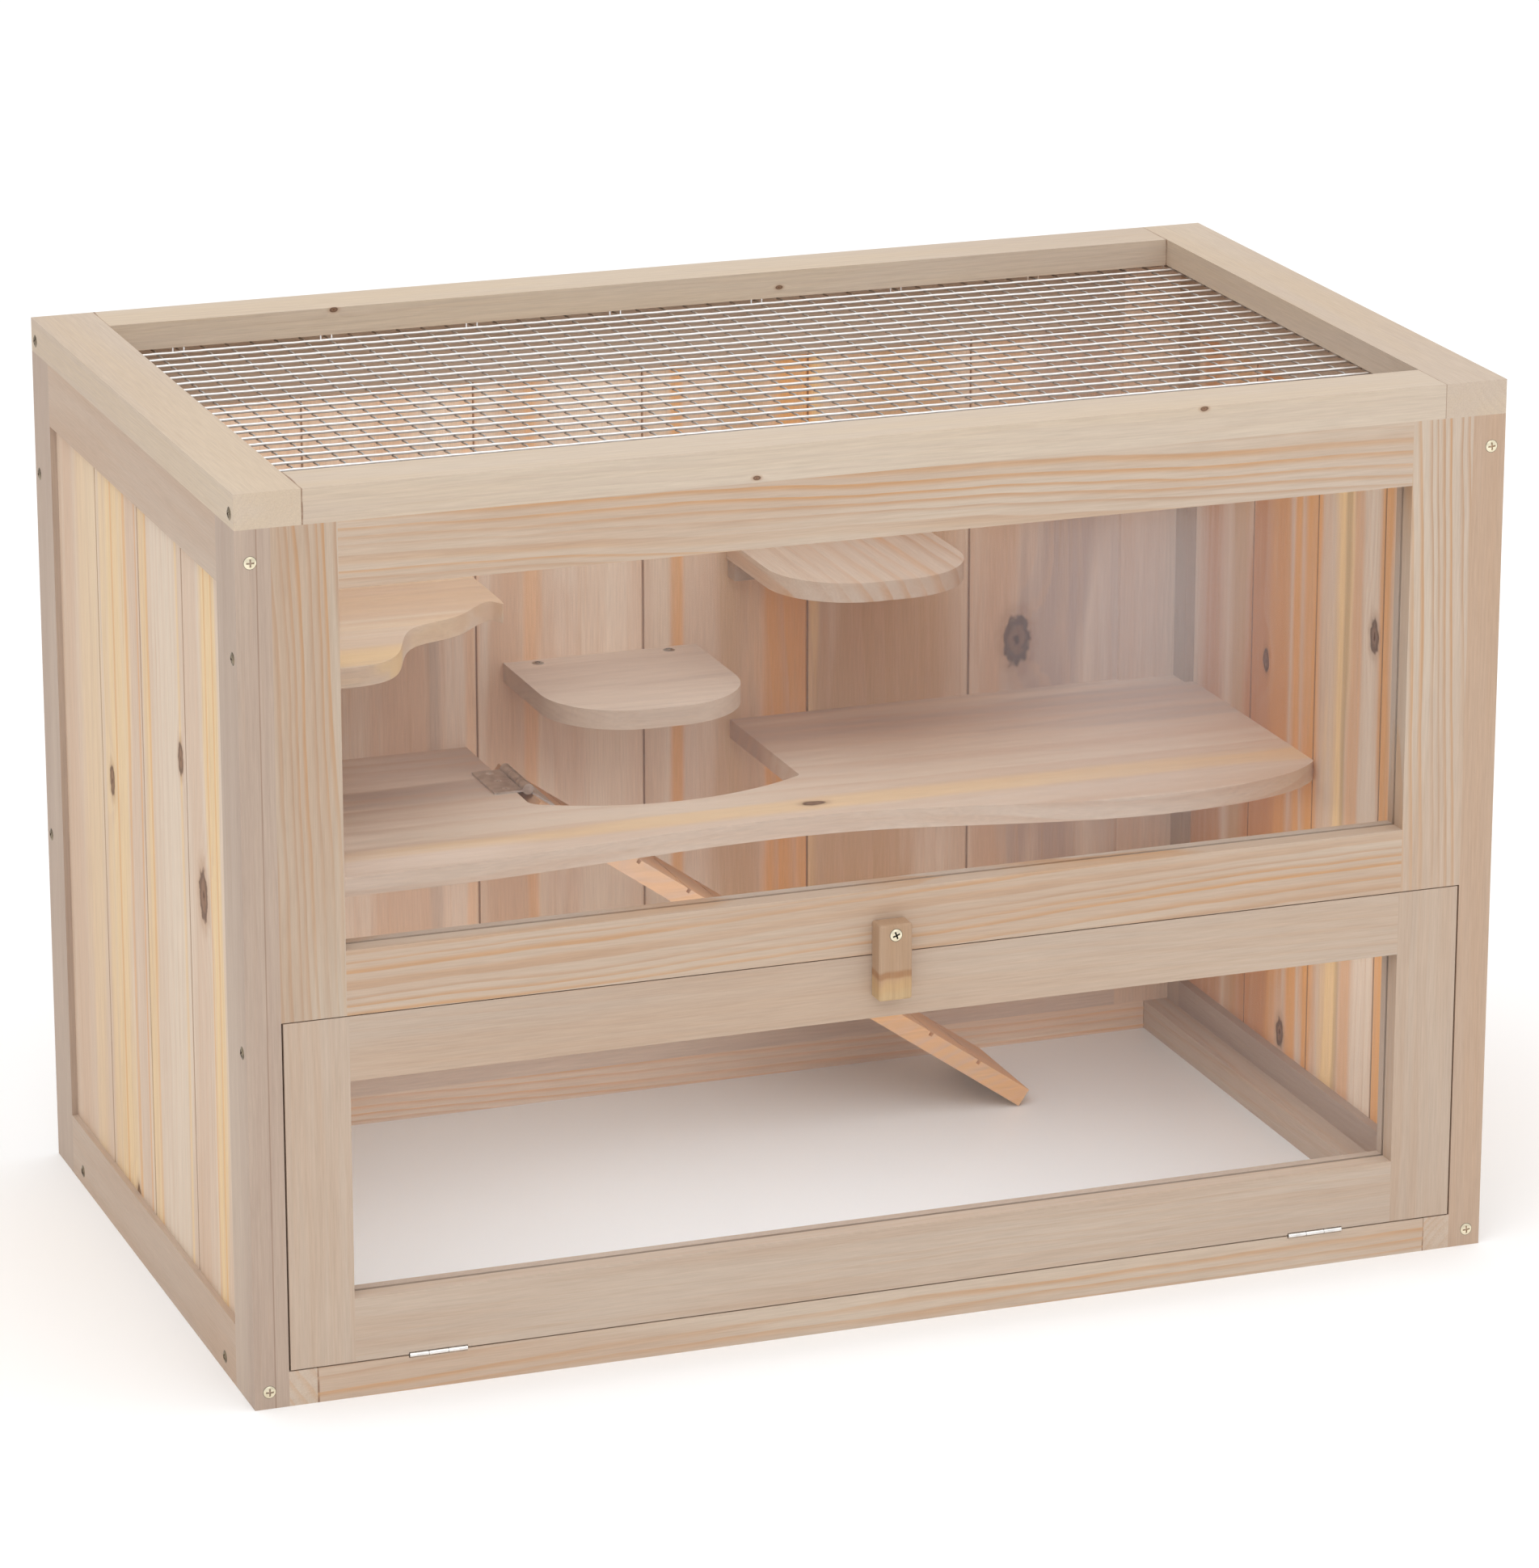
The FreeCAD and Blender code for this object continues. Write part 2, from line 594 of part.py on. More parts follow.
HINGES = {
    # kind: length, leaf width, leaf thickness, barrel and pin radii, axis above the wood,
    # distance of the screws from the axis, their places along the leaf
    "ramp": ("D.ramp_hinge_long", "D.ramp_leaf_wide", "D.ramp_leaf", "D.ramp_barrel", "D.ramp_pin",
             "D.ramp_leaf", "ramp_holes", (1 / 7, 1 / 2, 6 / 7)),
    "door": ("D.door_hinge_long", "D.door_leaf_wide", "D.door_leaf", "D.door_barrel", "D.door_pin",
             "(D.door_leaf + D.door_foot_gap / 2)", "door_holes", (1 / 4, 3 / 4)),
    "lid": ("D.lid_hinge_long", "D.lid_leaf_wide", "D.lid_leaf", "D.lid_barrel", "D.lid_pin",
            "D.lid_hinge_off", "lid_holes", (1 / 5, 4 / 5)),
}

ALONG_X = Rotation(Vector(0, 1, 0), 90)


def hinge_leaf(name, kind, outer, at, rotation):
    """One leaf. Its own X is the hinge's axis, Y runs across the plate, and -Z is the wood.

    outer leaves hold the first and last of the three knuckles, inner leaves the middle one.
    """
    long, wide, thick, barrel, pin, off, holes_at, holes = HINGES[kind]
    third = f"({long} - 2 * D.knuckle_gap) / 3"
    clear = f"({barrel} + D.knuckle_gap)"
    spans = [(0, third), (f"{long} - {third}", third)] if outer else [(f"{third} + D.knuckle_gap", third)]
    pieces = [block(f"{name}_plate", long, f"{wide} - {clear}", thick, (0, clear, f"-{off}"))]
    for index, (start, run) in enumerate(spans):
        pieces.append(block(f"{name}_web_{index}", run, clear, thick, (start, 0, f"-{off}")))
        pieces.append(round_bar(f"{name}_knuckle_{index}", barrel, run, (start, 0, 0), ALONG_X))
    tools = [round_bar(f"{name}_bore", f"{pin} + D.pin_clear", long, (0, 0, 0), ALONG_X)]
    for index, share in enumerate(holes):
        cone = doc.addObject("Part::Cone", f"{name}_hole_{index}")
        slope = f"(D.small_head - D.small_shank) / D.small_sink * {thick}"
        bind(cone, Radius1=f"D.small_head + D.pin_clear - {slope}", Radius2="D.small_head + D.pin_clear",
             Height=thick)
        place(cone, (f"{long} * {share}", f"D.{holes_at}", f"-{off}"))
        tools.append(cone)
    leaf = less(name, joined(name + "_joined", pieces), tools)
    place(leaf, at, rotation)
    return leaf


def hinge_pin(name, kind, at, rotation):
    long, pin = HINGES[kind][0], HINGES[kind][4]
    return round_bar(name, pin, long, at, rotation * ALONG_X)


def grouped(name, pieces):
    group = doc.addObject("Part::Compound", name + "_group")
    group.Links = pieces
    return finish(group, name)


def ramp_hinge():
    near = "-D.depth / 2 + D.ramp_hinge_front"
    quarter = Rotation(Vector(0, 0, 1), 90)
    slope = Rotation(Vector(0, 1, 0), size("ramp_angle")) * Rotation(Vector(0, 0, 1), -90)
    start = ("D.pivot_x", near, "D.pivot_height")
    fixed = hinge_leaf("ramp_leaf_fixed", "ramp", True, start, quarter)
    grouped("ramp_hinge_top_leaf", [fixed, hinge_pin("ramp_hinge_pin", "ramp", start, quarter)])
    moving = hinge_leaf("ramp_leaf_moving", "ramp", False,
                        ("D.pivot_x", f"{near} + D.ramp_hinge_long", "D.pivot_height"), slope)
    finish(moving, "ramp_hinge_ramp_leaf")


def paired_hinges(kind, at_x, axis_y, axis_z, fixed_turn, moving_turn, fixed_name, moving_name):
    """Two hinges on a long edge, each side of the middle, with the pins in the fixed leaves."""
    long = HINGES[kind][0]
    fixed, moving = [], []
    for side, sign in (("left", "-"), ("right", "")):
        start = f"{sign}{at_x} - {long} / 2"
        end = f"{sign}{at_x} + {long} / 2"
        fixed.append(hinge_leaf(f"{kind}_{side}_fixed", kind, True, (start, axis_y, axis_z), fixed_turn))
        fixed.append(hinge_pin(f"{kind}_{side}_pin", kind, (start, axis_y, axis_z), Rotation()))
        moving.append(hinge_leaf(f"{kind}_{side}_moving", kind, False, (end, axis_y, axis_z), moving_turn))
    grouped(fixed_name, fixed)
    grouped(moving_name, moving)


def door_hinges():
    over = Rotation(Vector(0, 1, 0), 180)
    paired_hinges("door", "D.door_hinge_at", "-D.depth / 2", "D.floor_height + D.door_foot_gap / 2",
                  Rotation(), over, "door_hinge_floor_leaves", "door_hinge_door_leaves")


def lid_hinges():
    down = Rotation(Vector(1, 0, 0), -90)
    up = Rotation(Vector(0, 0, 1), 180) * Rotation(Vector(1, 0, 0), 90)
    paired_hinges("lid", "D.lid_hinge_at", "D.depth / 2 + D.lid_hinge_off", "D.height - D.wood",
                  down, up, "lid_hinge_case_leaves", "lid_hinge_lid_leaves")


# ---------------------------------------------------------------- lid

def lid():
    """Four rails, rebated below round the opening for the edge of the mesh."""
    base = "D.height - D.wood"
    half = "D.length / 2"
    front = "-D.depth / 2"
    across = "D.depth - 2 * D.rail + 2 * D.rebate_wide"
    for side, at, rebate in (
        ("left", f"-{half}", "D.rail - D.rebate_wide"),
        ("right", f"{half} - D.rail", 0),
    ):
        timber(f"lid_{side}_rail", "D.rail", "D.depth", "D.wood", (at, front, base),
               cut=[(("D.rebate_wide", across, "D.rebate_high"), (rebate, "D.rail - D.rebate_wide", 0))])
    long = "D.length - 2 * D.rail"
    for side, at, rebate in (
        ("front", front, "D.rail - D.rebate_wide"),
        ("back", "D.depth / 2 - D.rail", 0),
    ):
        timber(f"lid_{side}_rail", long, "D.rail", "D.wood", (f"-({long}) / 2", at, base),
               cut=[((long, "D.rebate_wide", "D.rebate_high"), (0, rebate, 0))])


def wire_places(count):
    pitch = size("mesh_pitch")
    return [(index - (count - 1) / 2) * pitch for index in range(int(count))]


def lid_mesh():
    """Wires one way over wires the other way; their ends lie in the lid's rebate."""
    radius = size("wire") / 2
    long = size("length") - 2 * size("mesh_edge")
    wide = size("depth") - 2 * size("mesh_edge")
    low = size("height") - size("wood") + size("mesh_low") + radius
    wires = []
    for x in wire_places(size("cross_wires")):
        wires.append(Part.makeCylinder(radius, wide, Vector(x, -wide / 2, low), Vector(0, 1, 0)))
    for y in wire_places(size("long_wires")):
        at = Vector(-long / 2, y, low + size("wire") + size("pin_clear"))
        wires.append(Part.makeCylinder(radius, long, at, Vector(1, 0, 0)))
    mesh = doc.addObject("Part::Feature", "mesh")
    mesh.Shape = Part.makeCompound(wires)
    finish(mesh, "lid_mesh")


def staple(at, along_x):
    """A crown under one wire and two legs up into the rail."""
    thick, half, leg = size("staple_wire"), size("staple_half"), size("staple_leg")
    crown = Part.makeBox(2 * half, thick, thick, Vector(-half, -thick / 2, -thick))
    pieces = [crown]
    for x in (-half, half - thick):
        pieces.append(Part.makeBox(thick, thick, leg, Vector(x, -thick / 2, -thick)))
    shape = pieces[0].fuse(pieces[1:]).removeSplitter()
    if not along_x:
        shape.rotate(Vector(0, 0, 0), Vector(0, 0, 1), 90)
    shape.translate(at)
    return shape


def lid_staples():
    """Staples through the rebate, each over one wire, spaced round the mesh's edge."""
    base = size("height") - size("wood") + size("mesh_low")
    inset = size("staple_inset")
    shift = inset - size("staple_shift")
    first = int(size("staple_first"))
    shapes = []
    cross = wire_places(size("cross_wires"))
    for x in cross[first::int(size("cross_step"))]:
        for y in (-size("depth") / 2 + inset, size("depth") / 2 - inset):
            shapes.append(staple(Vector(x, y, base), True))
    across = wire_places(size("long_wires"))
    high = base + size("wire") + size("pin_clear")
    for y in across[first:-first:int(size("long_step"))]:
        for x in (-size("length") / 2 + shift, size("length") / 2 - shift):
            shapes.append(staple(Vector(x, y, high), False))
    item = doc.addObject("Part::Feature", "staples")
    item.Shape = Part.makeCompound(shapes)
    finish(item, "lid_staples")


# ---------------------------------------------------------------- turn button and screws

def turn_button():
    """A block that turns on its screw over the gap between front panel and door."""
    body, sketch = body_on("XZ_Plane", "button")
    wide, tall = "D.button_wide", "D.button_long"
    draw_polygon(sketch, [(0, 0), (wide, 0), (wide, tall), (0, tall)])
    pad = padded("button", body, sketch, "D.button_thick")
    doc.recompute()
    rounded = []
    for index, edge in enumerate(pad.Shape.Edges, start=1):
        if max(abs(vertex.Point.y) for vertex in edge.Vertexes) > TINY:
            rounded.append(f"Edge{index}")
    fillet = body.newObject("PartDesign::Fillet", "button_fillet")
    fillet.Base = (pad, rounded)
    bind(fillet, Radius="D.button_round")

    from_top = "D.button_long - (D.button_top - D.button_pivot)"
    middle = ("D.button_wide / 2", 0, from_top)
    forward = Rotation(Vector(1, 0, 0), 90)
    bore = round_bar("button_bore", "D.screw_shank + D.pin_clear", "D.button_thick", middle, forward)
    seat = doc.addObject("Part::Cone", "button_seat")
    bind(seat, Radius1="D.screw_shank + D.pin_clear", Radius2="D.screw_head + 2 * D.pin_clear",
         Height="D.screw_sink")
    place(seat, ("D.button_wide / 2", "-(D.button_thick - D.screw_sink)", from_top), forward)
    piece = less("button_block", body, [bore, seat])
    place(piece, ("-D.button_wide / 2", "-D.depth / 2 - D.button_gap", "D.button_top - D.button_long"))
    finish(piece, "turn_button")


# Proportions of a screw: where its domed head is bowed, its point, and the cross cut in it.
DOME_OUT, DOME_UP = 0.6, 0.68
POINT_LONG = 2
CROSS_WIDE, CROSS_REACH, CROSS_DEEP = 0.26, 1.2, 0.55


def screw(head, shank, sink, long, rise):
    """A countersunk cross-head wood screw, its head's rim at Z = 0 and its point down."""
    rim = Vector(head, 0, 0)
    edges = []
    if rise:
        dome = Vector(head * DOME_OUT, 0, rise * DOME_UP)
        edges.append(Part.Arc(Vector(0, 0, rise), dome, rim).toShape())
        edges.append(Part.LineSegment(Vector(0, 0, -long), Vector(0, 0, rise)).toShape())
    else:
        edges.append(Part.LineSegment(Vector(0, 0, 0), rim).toShape())
        edges.append(Part.LineSegment(Vector(0, 0, -long), Vector(0, 0, 0)).toShape())
    tip = POINT_LONG * shank
    points = [rim, Vector(shank, 0, -sink), Vector(shank, 0, tip - long), Vector(0, 0, -long)]
    edges += [Part.LineSegment(a, b).toShape() for a, b in zip(points, points[1:])]
    section = Part.Face(Part.Wire(Part.__sortEdges__(edges)))
    solid = section.revolve(Vector(0, 0, 0), Vector(0, 0, 1), 360)
    blade, reach, deep = CROSS_WIDE * head, CROSS_REACH * head, CROSS_DEEP * sink
    for turn in (0, 90):
        slot = Part.makeBox(reach, blade, deep + head, Vector(-reach / 2, -blade / 2, -deep))
        slot.rotate(Vector(0, 0, 0), Vector(0, 0, 1), turn)
        solid = solid.cut(slot)
    return solid


def screw_group(name, places):
    """Screws at (position, outward direction, screw, turn of the cross in degrees)."""
    shapes = []
    for at, outward, shape, turn in places:
        aim = Rotation(Vector(0, 0, 1), Vector(*outward)) * Rotation(Vector(0, 0, 1), turn)
        copy = shape.copy()
        copy.Placement = Placement(Vector(*at), aim)
        shapes.append(copy)
    item = doc.addObject("Part::Feature", name + "_set")
    item.Shape = Part.makeCompound(shapes)
    finish(item, name)


def large_screw(long):
    return screw(size("screw_head"), size("screw_shank"), size("screw_sink"), long, size("screw_rise"))


def small_screw(long):
    return screw(size("small_head"), size("small_shank"), size("small_sink"), long, 0)


def frame_screws():
    """Screws through the side panels' stiles and bottom rails, and through the front stiles."""
    side, front = size("length") / 2, size("depth") / 2
    edge = front - size("screw_edge")
    long = large_screw(size("stile_screw"))
    foot = large_screw(size("foot_screw"))
    places = []
    for sign in (-1, 1):
        outward = (sign, 0, 0)
        for y in (-edge, edge):
            places.append(((sign * side, y, size("upper_screw")), outward, long, 10))
        places.append(((sign * side, edge, size("middle_screw")), outward, long, 35))
        # Beside the door this one ends inside the side panel's own stile.
        short = large_screw(size("short_screw"))
        places.append(((sign * side, -edge, size("middle_screw")), outward, short, 35))
        for y in (-size("foot_screw_at"), size("foot_screw_at")):
            places.append(((sign * side, y, size("foot_screw_height")), outward, foot, 60))
    screw_group("side_screws", places)

    forward = (0, -1, 0)
    across = side - size("front_screw_edge")
    places = []
    for turn, x in ((0, -across), (5, across)):
        for alias in ("front_screw_high", "front_screw_low"):
            places.append(((x, -front, size(alias)), forward, large_screw(size("front_screw")), turn))
    face = -front - size("button_gap") - size("button_thick")
    pivot = (0, face, size("button_pivot"))
    places.append((pivot, forward, large_screw(size("button_screw")), 20))
    screw_group("front_screws", places)


def paired_screw_places(kind):
    """X of every screw in a pair of hinges."""
    reach = size(f"{kind}_hinge_long")
    return [sign * size(f"{kind}_hinge_at") + reach * (share - 0.5)
            for sign in (-1, 1) for share in HINGES[kind][7]]


def ramp_screw_places():
    """Y of the screws in the ramp's hinge."""
    near = -size("depth") / 2 + size("ramp_hinge_front")
    return [near + size("ramp_hinge_long") * share for share in HINGES["ramp"][7]]


def fitting_screws():
    """Screws that hold the shelves on their cleats, and the fixed leaves of the hinges."""
    back = size("depth") / 2 - size("wood") + size("recess")
    rear = back - size("cleat_screw")
    down, up, behind = (0, 0, 1), (0, 0, -1), (0, 1, 0)
    into_cleat = large_screw(size("shelf_screw"))
    edge = size("perch_screw_edge")
    places = []
    for left, top in (("low_perch_left", "low_top"), ("high_perch_left", "high_top")):
        for step, turn in ((edge, 15), (size("perch_width") - edge, 70)):
            places.append(((size(left) + step, rear, size(top)), down, into_cleat, turn))
    for x, turn in CORNER_SCREWS:
        places.append(((x, rear, size("high_top")), down, into_cleat, turn))
    below = size("storey_top") - size("shelf") - size("cleat_high")
    for x, turn in STOREY_SCREWS:
        places.append(((x, rear, below), up, into_cleat, turn))
    x = size("pivot_x") - size("ramp_holes")
    for y, turn in zip(ramp_screw_places(), (10, 50, 80)):
        places.append(((x, y, size("pivot_height")), down, small_screw(size("ramp_screw")), turn))
    y = size("depth") / 2 + size("lid_leaf")
    z = size("height") - size("wood") - size("lid_holes")
    for x in paired_screw_places("lid"):
        places.append(((x, y, z), behind, small_screw(size("lid_leaf_screw")), 25))
    y = -size("depth") / 2 + size("door_holes")
    for x in paired_screw_places("door"):
        places.append(((x, y, size("floor_height")), down, small_screw(size("door_leaf_screw")), 15))
    screw_group("fitting_screws", places)


def moving_screws():
    """The screws that travel with the lid, the door and the ramp."""
    side, front = size("length") / 2, size("depth") / 2
    edge = front - size("screw_edge")
    height = size("height") - size("lid_screw_drop")
    places = []
    for sign in (-1, 1):
        for y in (-edge, edge):
            places.append(((sign * side, y, height), (sign, 0, 0), large_screw(size("lid_screw")), 25))
    z = size("height") - size("wood") + size("lid_holes")
    for x in paired_screw_places("lid"):
        at = (x, front + size("lid_leaf"), z)
        places.append((at, (0, 1, 0), small_screw(size("lid_leaf_screw")), 60))
    screw_group("lid_screws", places)

    z = size("floor_height") + size("door_foot_gap")
    places = []
    for x in paired_screw_places("door"):
        at = (x, -front + size("door_holes"), z)
        places.append((at, (0, 0, -1), small_screw(size("door_leaf_screw")), 75))
    screw_group("door_screws", places)

    slope = math.radians(size("ramp_angle"))
    down_slope = size("ramp_holes")
    places = []
    for y, turn in zip(ramp_screw_places(), (20, 45, 5)):
        at = (size("pivot_x") + down_slope * math.cos(slope), y,
              size("pivot_height") - down_slope * math.sin(slope))
        places.append((at, (math.sin(slope), 0, math.cos(slope)), small_screw(size("ramp_screw")), turn))
    screw_group("ramp_screws", places)


# ---------------------------------------------------------------- the whole cage

side_panel("left", "-D.length / 2", "D.recess")
side_panel("right", "D.length / 2 - D.wood", "(D.wood - D.recess - D.slat)")
back_panel()
front_panel()
floor_frame()
door()
storey_board()
corner_shelf()
perch("low_perch", "D.low_perch_left", "D.low_top")
perch("high_perch", "D.high_perch_left", "D.high_top")
cleats()
ramp()
ramp_hinge()
door_hinges()
lid_hinges()
lid()
lid_mesh()
lid_staples()
turn_button()
frame_screws()
fitting_screws()
moving_screws()
doc.recompute()

faults = [item.Name for item in doc.Objects if {"Invalid", "Error"} & set(item.State)]
for item in nodes:
    if item.Shape.isNull() or not item.Shape.isValid():
        faults.append(item.Label)
if faults:
    raise RuntimeError(f"these did not build: {faults}")

os.makedirs("parts", exist_ok=True)
for item in nodes:
    item.Shape.exportStep(f"parts/{item.Label}.step")
print(len(nodes), "sub-parts written")
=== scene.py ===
import math

import bmesh
import bpy
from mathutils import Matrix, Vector


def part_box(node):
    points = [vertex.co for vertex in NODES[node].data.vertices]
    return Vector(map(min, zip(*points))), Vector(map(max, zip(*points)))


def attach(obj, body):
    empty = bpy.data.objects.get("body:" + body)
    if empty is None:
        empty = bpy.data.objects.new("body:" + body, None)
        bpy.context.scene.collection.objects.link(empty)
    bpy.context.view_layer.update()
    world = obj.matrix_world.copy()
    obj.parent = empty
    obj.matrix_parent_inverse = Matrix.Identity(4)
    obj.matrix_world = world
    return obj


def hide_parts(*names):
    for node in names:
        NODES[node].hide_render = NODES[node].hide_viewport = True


# The looks of a two-storey wooden hamster cage. Each timber keeps its modelled shape and gets
# its own pine: growth rings round a pith line, fibres, colour patches and knots. The lid's
# straight wires are replaced by slightly crimped ones. Metres throughout, with X along the
# front, Y from front to back and Z up.

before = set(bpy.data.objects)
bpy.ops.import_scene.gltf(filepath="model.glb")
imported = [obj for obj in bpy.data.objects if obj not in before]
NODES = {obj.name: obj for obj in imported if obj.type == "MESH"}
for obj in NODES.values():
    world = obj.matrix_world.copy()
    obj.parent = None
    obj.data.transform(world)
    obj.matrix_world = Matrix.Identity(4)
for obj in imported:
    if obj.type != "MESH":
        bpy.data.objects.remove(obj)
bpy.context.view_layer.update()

MM = 0.001
FRONT_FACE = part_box("front_left_stile")[0].y
BUTTON_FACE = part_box("turn_button")[0].y


# ---------------------------------------------------------------- camera, light and stage

CAMERA_AT = Vector((-1.03602, -2.84767, 1.14752))
CAMERA_AIM = Vector((0.00608, -0.00272, 0.2085))
# In mm, as on a camera.
LENS = 154.14124
SENSOR = 36.0

# The surround's brightest direction, and its strength across from that direction and in it.
SKY_BRIGHTEST = (-0.10, -0.12, 0.98)
SKY_LOW = 0.42
SKY_HIGH = 1.45
CAGE_MIDDLE = (0, 0, 0.2)
# The flat lamp under the upper floor: its middle's depth and height, and its width and depth.
LOWER_LAMP_Y = -0.035
LOWER_LAMP_Z = 0.176
LOWER_LAMP_WIDE = 0.50
LOWER_LAMP_DEEP = 0.19
STAGE_REACH = 14


def make_camera():
    """The camera, level and looking down a little from the front left."""
    data = bpy.data.cameras.new("camera")
    data.sensor_width = SENSOR
    data.lens = LENS
    camera = bpy.data.objects.new("camera", data)
    camera.location = CAMERA_AT
    camera.rotation_euler = (CAMERA_AIM - CAMERA_AT).to_track_quat("-Z", "Y").to_euler()
    bpy.context.scene.collection.objects.link(camera)
    bpy.context.scene.camera = camera


def soft_light(name, at, aim, wide, power, deep=None):
    """A round soft lamp, or a rectangular one when it is given a depth too."""
    data = bpy.data.lights.new(name, "AREA")
    data.shape = "RECTANGLE" if deep else "DISK"
    data.size = wide
    if deep:
        data.size_y = deep
    data.energy = power
    light = bpy.data.objects.new(name, data)
    light.location = at
    light.rotation_euler = (Vector(aim) - Vector(at)).to_track_quat("-Z", "Y").to_euler()
    bpy.context.scene.collection.objects.link(light)
    return light


def make_studio():
    """A white surround that is brightest overhead and a little in front, and soft lamps.

    One lamp lies flat under the upper floor and lights the floor sheet.
    """
    world = bpy.data.worlds.new("studio")
    world.use_nodes = True
    tree = world.node_tree
    direction = tree.nodes.new("ShaderNodeTexCoord").outputs["Generated"]
    toward = tree.nodes.new("ShaderNodeVectorMath")
    toward.operation = "DOT_PRODUCT"
    tree.links.new(direction, toward.inputs[0])
    toward.inputs[1].default_value = Vector(SKY_BRIGHTEST).normalized()
    strength = tree.nodes.new("ShaderNodeMapRange")
    strength.interpolation_type = "SMOOTHSTEP"
    strength.inputs["To Min"].default_value = SKY_LOW
    strength.inputs["To Max"].default_value = SKY_HIGH
    tree.links.new(toward.outputs["Value"], strength.inputs["Value"])
    tree.links.new(strength.outputs["Result"], tree.nodes["Background"].inputs["Strength"])
    tree.nodes["Background"].inputs["Color"].default_value = (1, 1, 1, 1)
    bpy.context.scene.world = world
    soft_light("key", (-1.3, -1.6, 2.6), CAGE_MIDDLE, 1.8, 7)
    soft_light("front", (0.3, -2.6, 1.7), (0, 0, 0.1), 1.4, 4)
    soft_light("right", (2.2, -1.2, 1.3), CAGE_MIDDLE, 2.0, 5)
    over = (0, LOWER_LAMP_Y, LOWER_LAMP_Z)
    under = (0, LOWER_LAMP_Y, 0)
    lower = soft_light("lower storey", over, under, LOWER_LAMP_WIDE, 0.28, deep=LOWER_LAMP_DEEP)
    lower.visible_camera = False
    lower.visible_glossy = False
    bpy.context.scene.view_settings.view_transform = "Standard"


def make_floor():
    """The plain pale floor that the cage stands on."""
    mesh = bpy.data.meshes.new("studio_floor")
    form = bmesh.new()
    bmesh.ops.create_grid(form, x_segments=8, y_segments=8, size=STAGE_REACH)
    form.to_mesh(mesh)
    form.free()
    floor = bpy.data.objects.new("studio_floor", mesh)
    bpy.context.scene.collection.objects.link(floor)
    material = bpy.data.materials.new("studio_floor")
    material.use_nodes = True
    shader = material.node_tree.nodes["Principled BSDF"]
    shader.inputs["Base Color"].default_value = (0.95, 0.95, 0.95, 1)
    shader.inputs["Roughness"].default_value = 0.9
    shader.inputs["Specular IOR Level"].default_value = 0.1
    mesh.materials.append(material)


# ---------------------------------------------------------------- node building

class Nodes:
    """Builds one material's node tree. Every method returns the socket that it makes."""

    def __init__(self, name):
        self.material = bpy.data.materials.new(name)
        self.material.use_nodes = True
        self.tree = self.material.node_tree
        self.shader = self.tree.nodes["Principled BSDF"]

    def link(self, source, target):
        if hasattr(source, "is_linked"):
            self.tree.links.new(source, target)
        else:
            target.default_value = source

    def math(self, operation, *values):
        node = self.tree.nodes.new("ShaderNodeMath")
        node.operation = operation
        for value, target in zip(values, node.inputs):
            self.link(value, target)
        return node.outputs[0]

    def place(self):
        """The surface point's X, Y and Z in the cage's own frame."""
        source = self.tree.nodes.new("ShaderNodeTexCoord").outputs["Object"]
        parts = self.tree.nodes.new("ShaderNodeSeparateXYZ")
        self.tree.links.new(source, parts.inputs[0])
        return parts.outputs["X"], parts.outputs["Y"], parts.outputs["Z"]

    def point(self, x, y, z):
        node = self.tree.nodes.new("ShaderNodeCombineXYZ")
        for value, target in zip((x, y, z), node.inputs):
            self.link(value, target)
        return node.outputs[0]

    def noise(self, at, scale, detail=2.0, rough=0.5):
        node = self.tree.nodes.new("ShaderNodeTexNoise")
        self.tree.links.new(at, node.inputs["Vector"])
        node.inputs["Scale"].default_value = scale
        node.inputs["Detail"].default_value = detail
        node.inputs["Roughness"].default_value = rough
        return node.outputs["Fac"]

    def ramp(self, value, low, high):
        """0 below low and 1 above high, smoothly between."""
        node = self.tree.nodes.new("ShaderNodeMapRange")
        node.interpolation_type = "SMOOTHSTEP"
        self.link(value, node.inputs["Value"])
        node.inputs["From Min"].default_value = low
        node.inputs["From Max"].default_value = high
        return node.outputs["Result"]

    def mix(self, share, first, second):
        node = self.tree.nodes.new("ShaderNodeMix")
        node.data_type = "RGBA"
        self.link(share, node.inputs["Factor"])
        for value, target in ((first, node.inputs[6]), (second, node.inputs[7])):
            self.link(value if hasattr(value, "is_linked") else (*value, 1), target)
        return node.outputs[2]

    def scaled(self, colour, amount):
        node = self.tree.nodes.new("ShaderNodeVectorMath")
        node.operation = "SCALE"
        self.tree.links.new(colour, node.inputs[0])
        self.link(amount, node.inputs["Scale"])
        return node.outputs[0]

    def bump(self, height, deep):
        node = self.tree.nodes.new("ShaderNodeBump")
        node.inputs["Strength"].default_value = 1.0
        node.inputs["Distance"].default_value = deep
        self.tree.links.new(height, node.inputs["Height"])
        self.tree.links.new(node.outputs[0], self.shader.inputs["Normal"])

    def finish(self, colour, roughness):
        self.link(colour, self.shader.inputs["Base Color"])
        self.link(roughness, self.shader.inputs["Roughness"])
        return self.material


# ---------------------------------------------------------------- wood

CREAM = (0.59, 0.49, 0.39)
PALE = (0.56, 0.452, 0.362)
BEIGE = (0.50, 0.393, 0.313)
PINK = (0.49, 0.33, 0.225)
MAUVE = (0.38, 0.275, 0.22)
YELLOW = (0.66, 0.47, 0.235)
ORANGE = (0.575, 0.295, 0.115)
TAN = (0.44, 0.275, 0.155)
SLATE = (0.31, 0.27, 0.24)
UMBER = (0.20, 0.095, 0.05)
RUST = (0.42, 0.19, 0.08)
# A pale used only as painted light on the upper floor's left part.
PAINTED_LIGHT_PALE = (0.76, 0.65, 0.55)
KNOT = (0.10, 0.042, 0.02)
KNOT_RIM = (0.36, 0.175, 0.08)

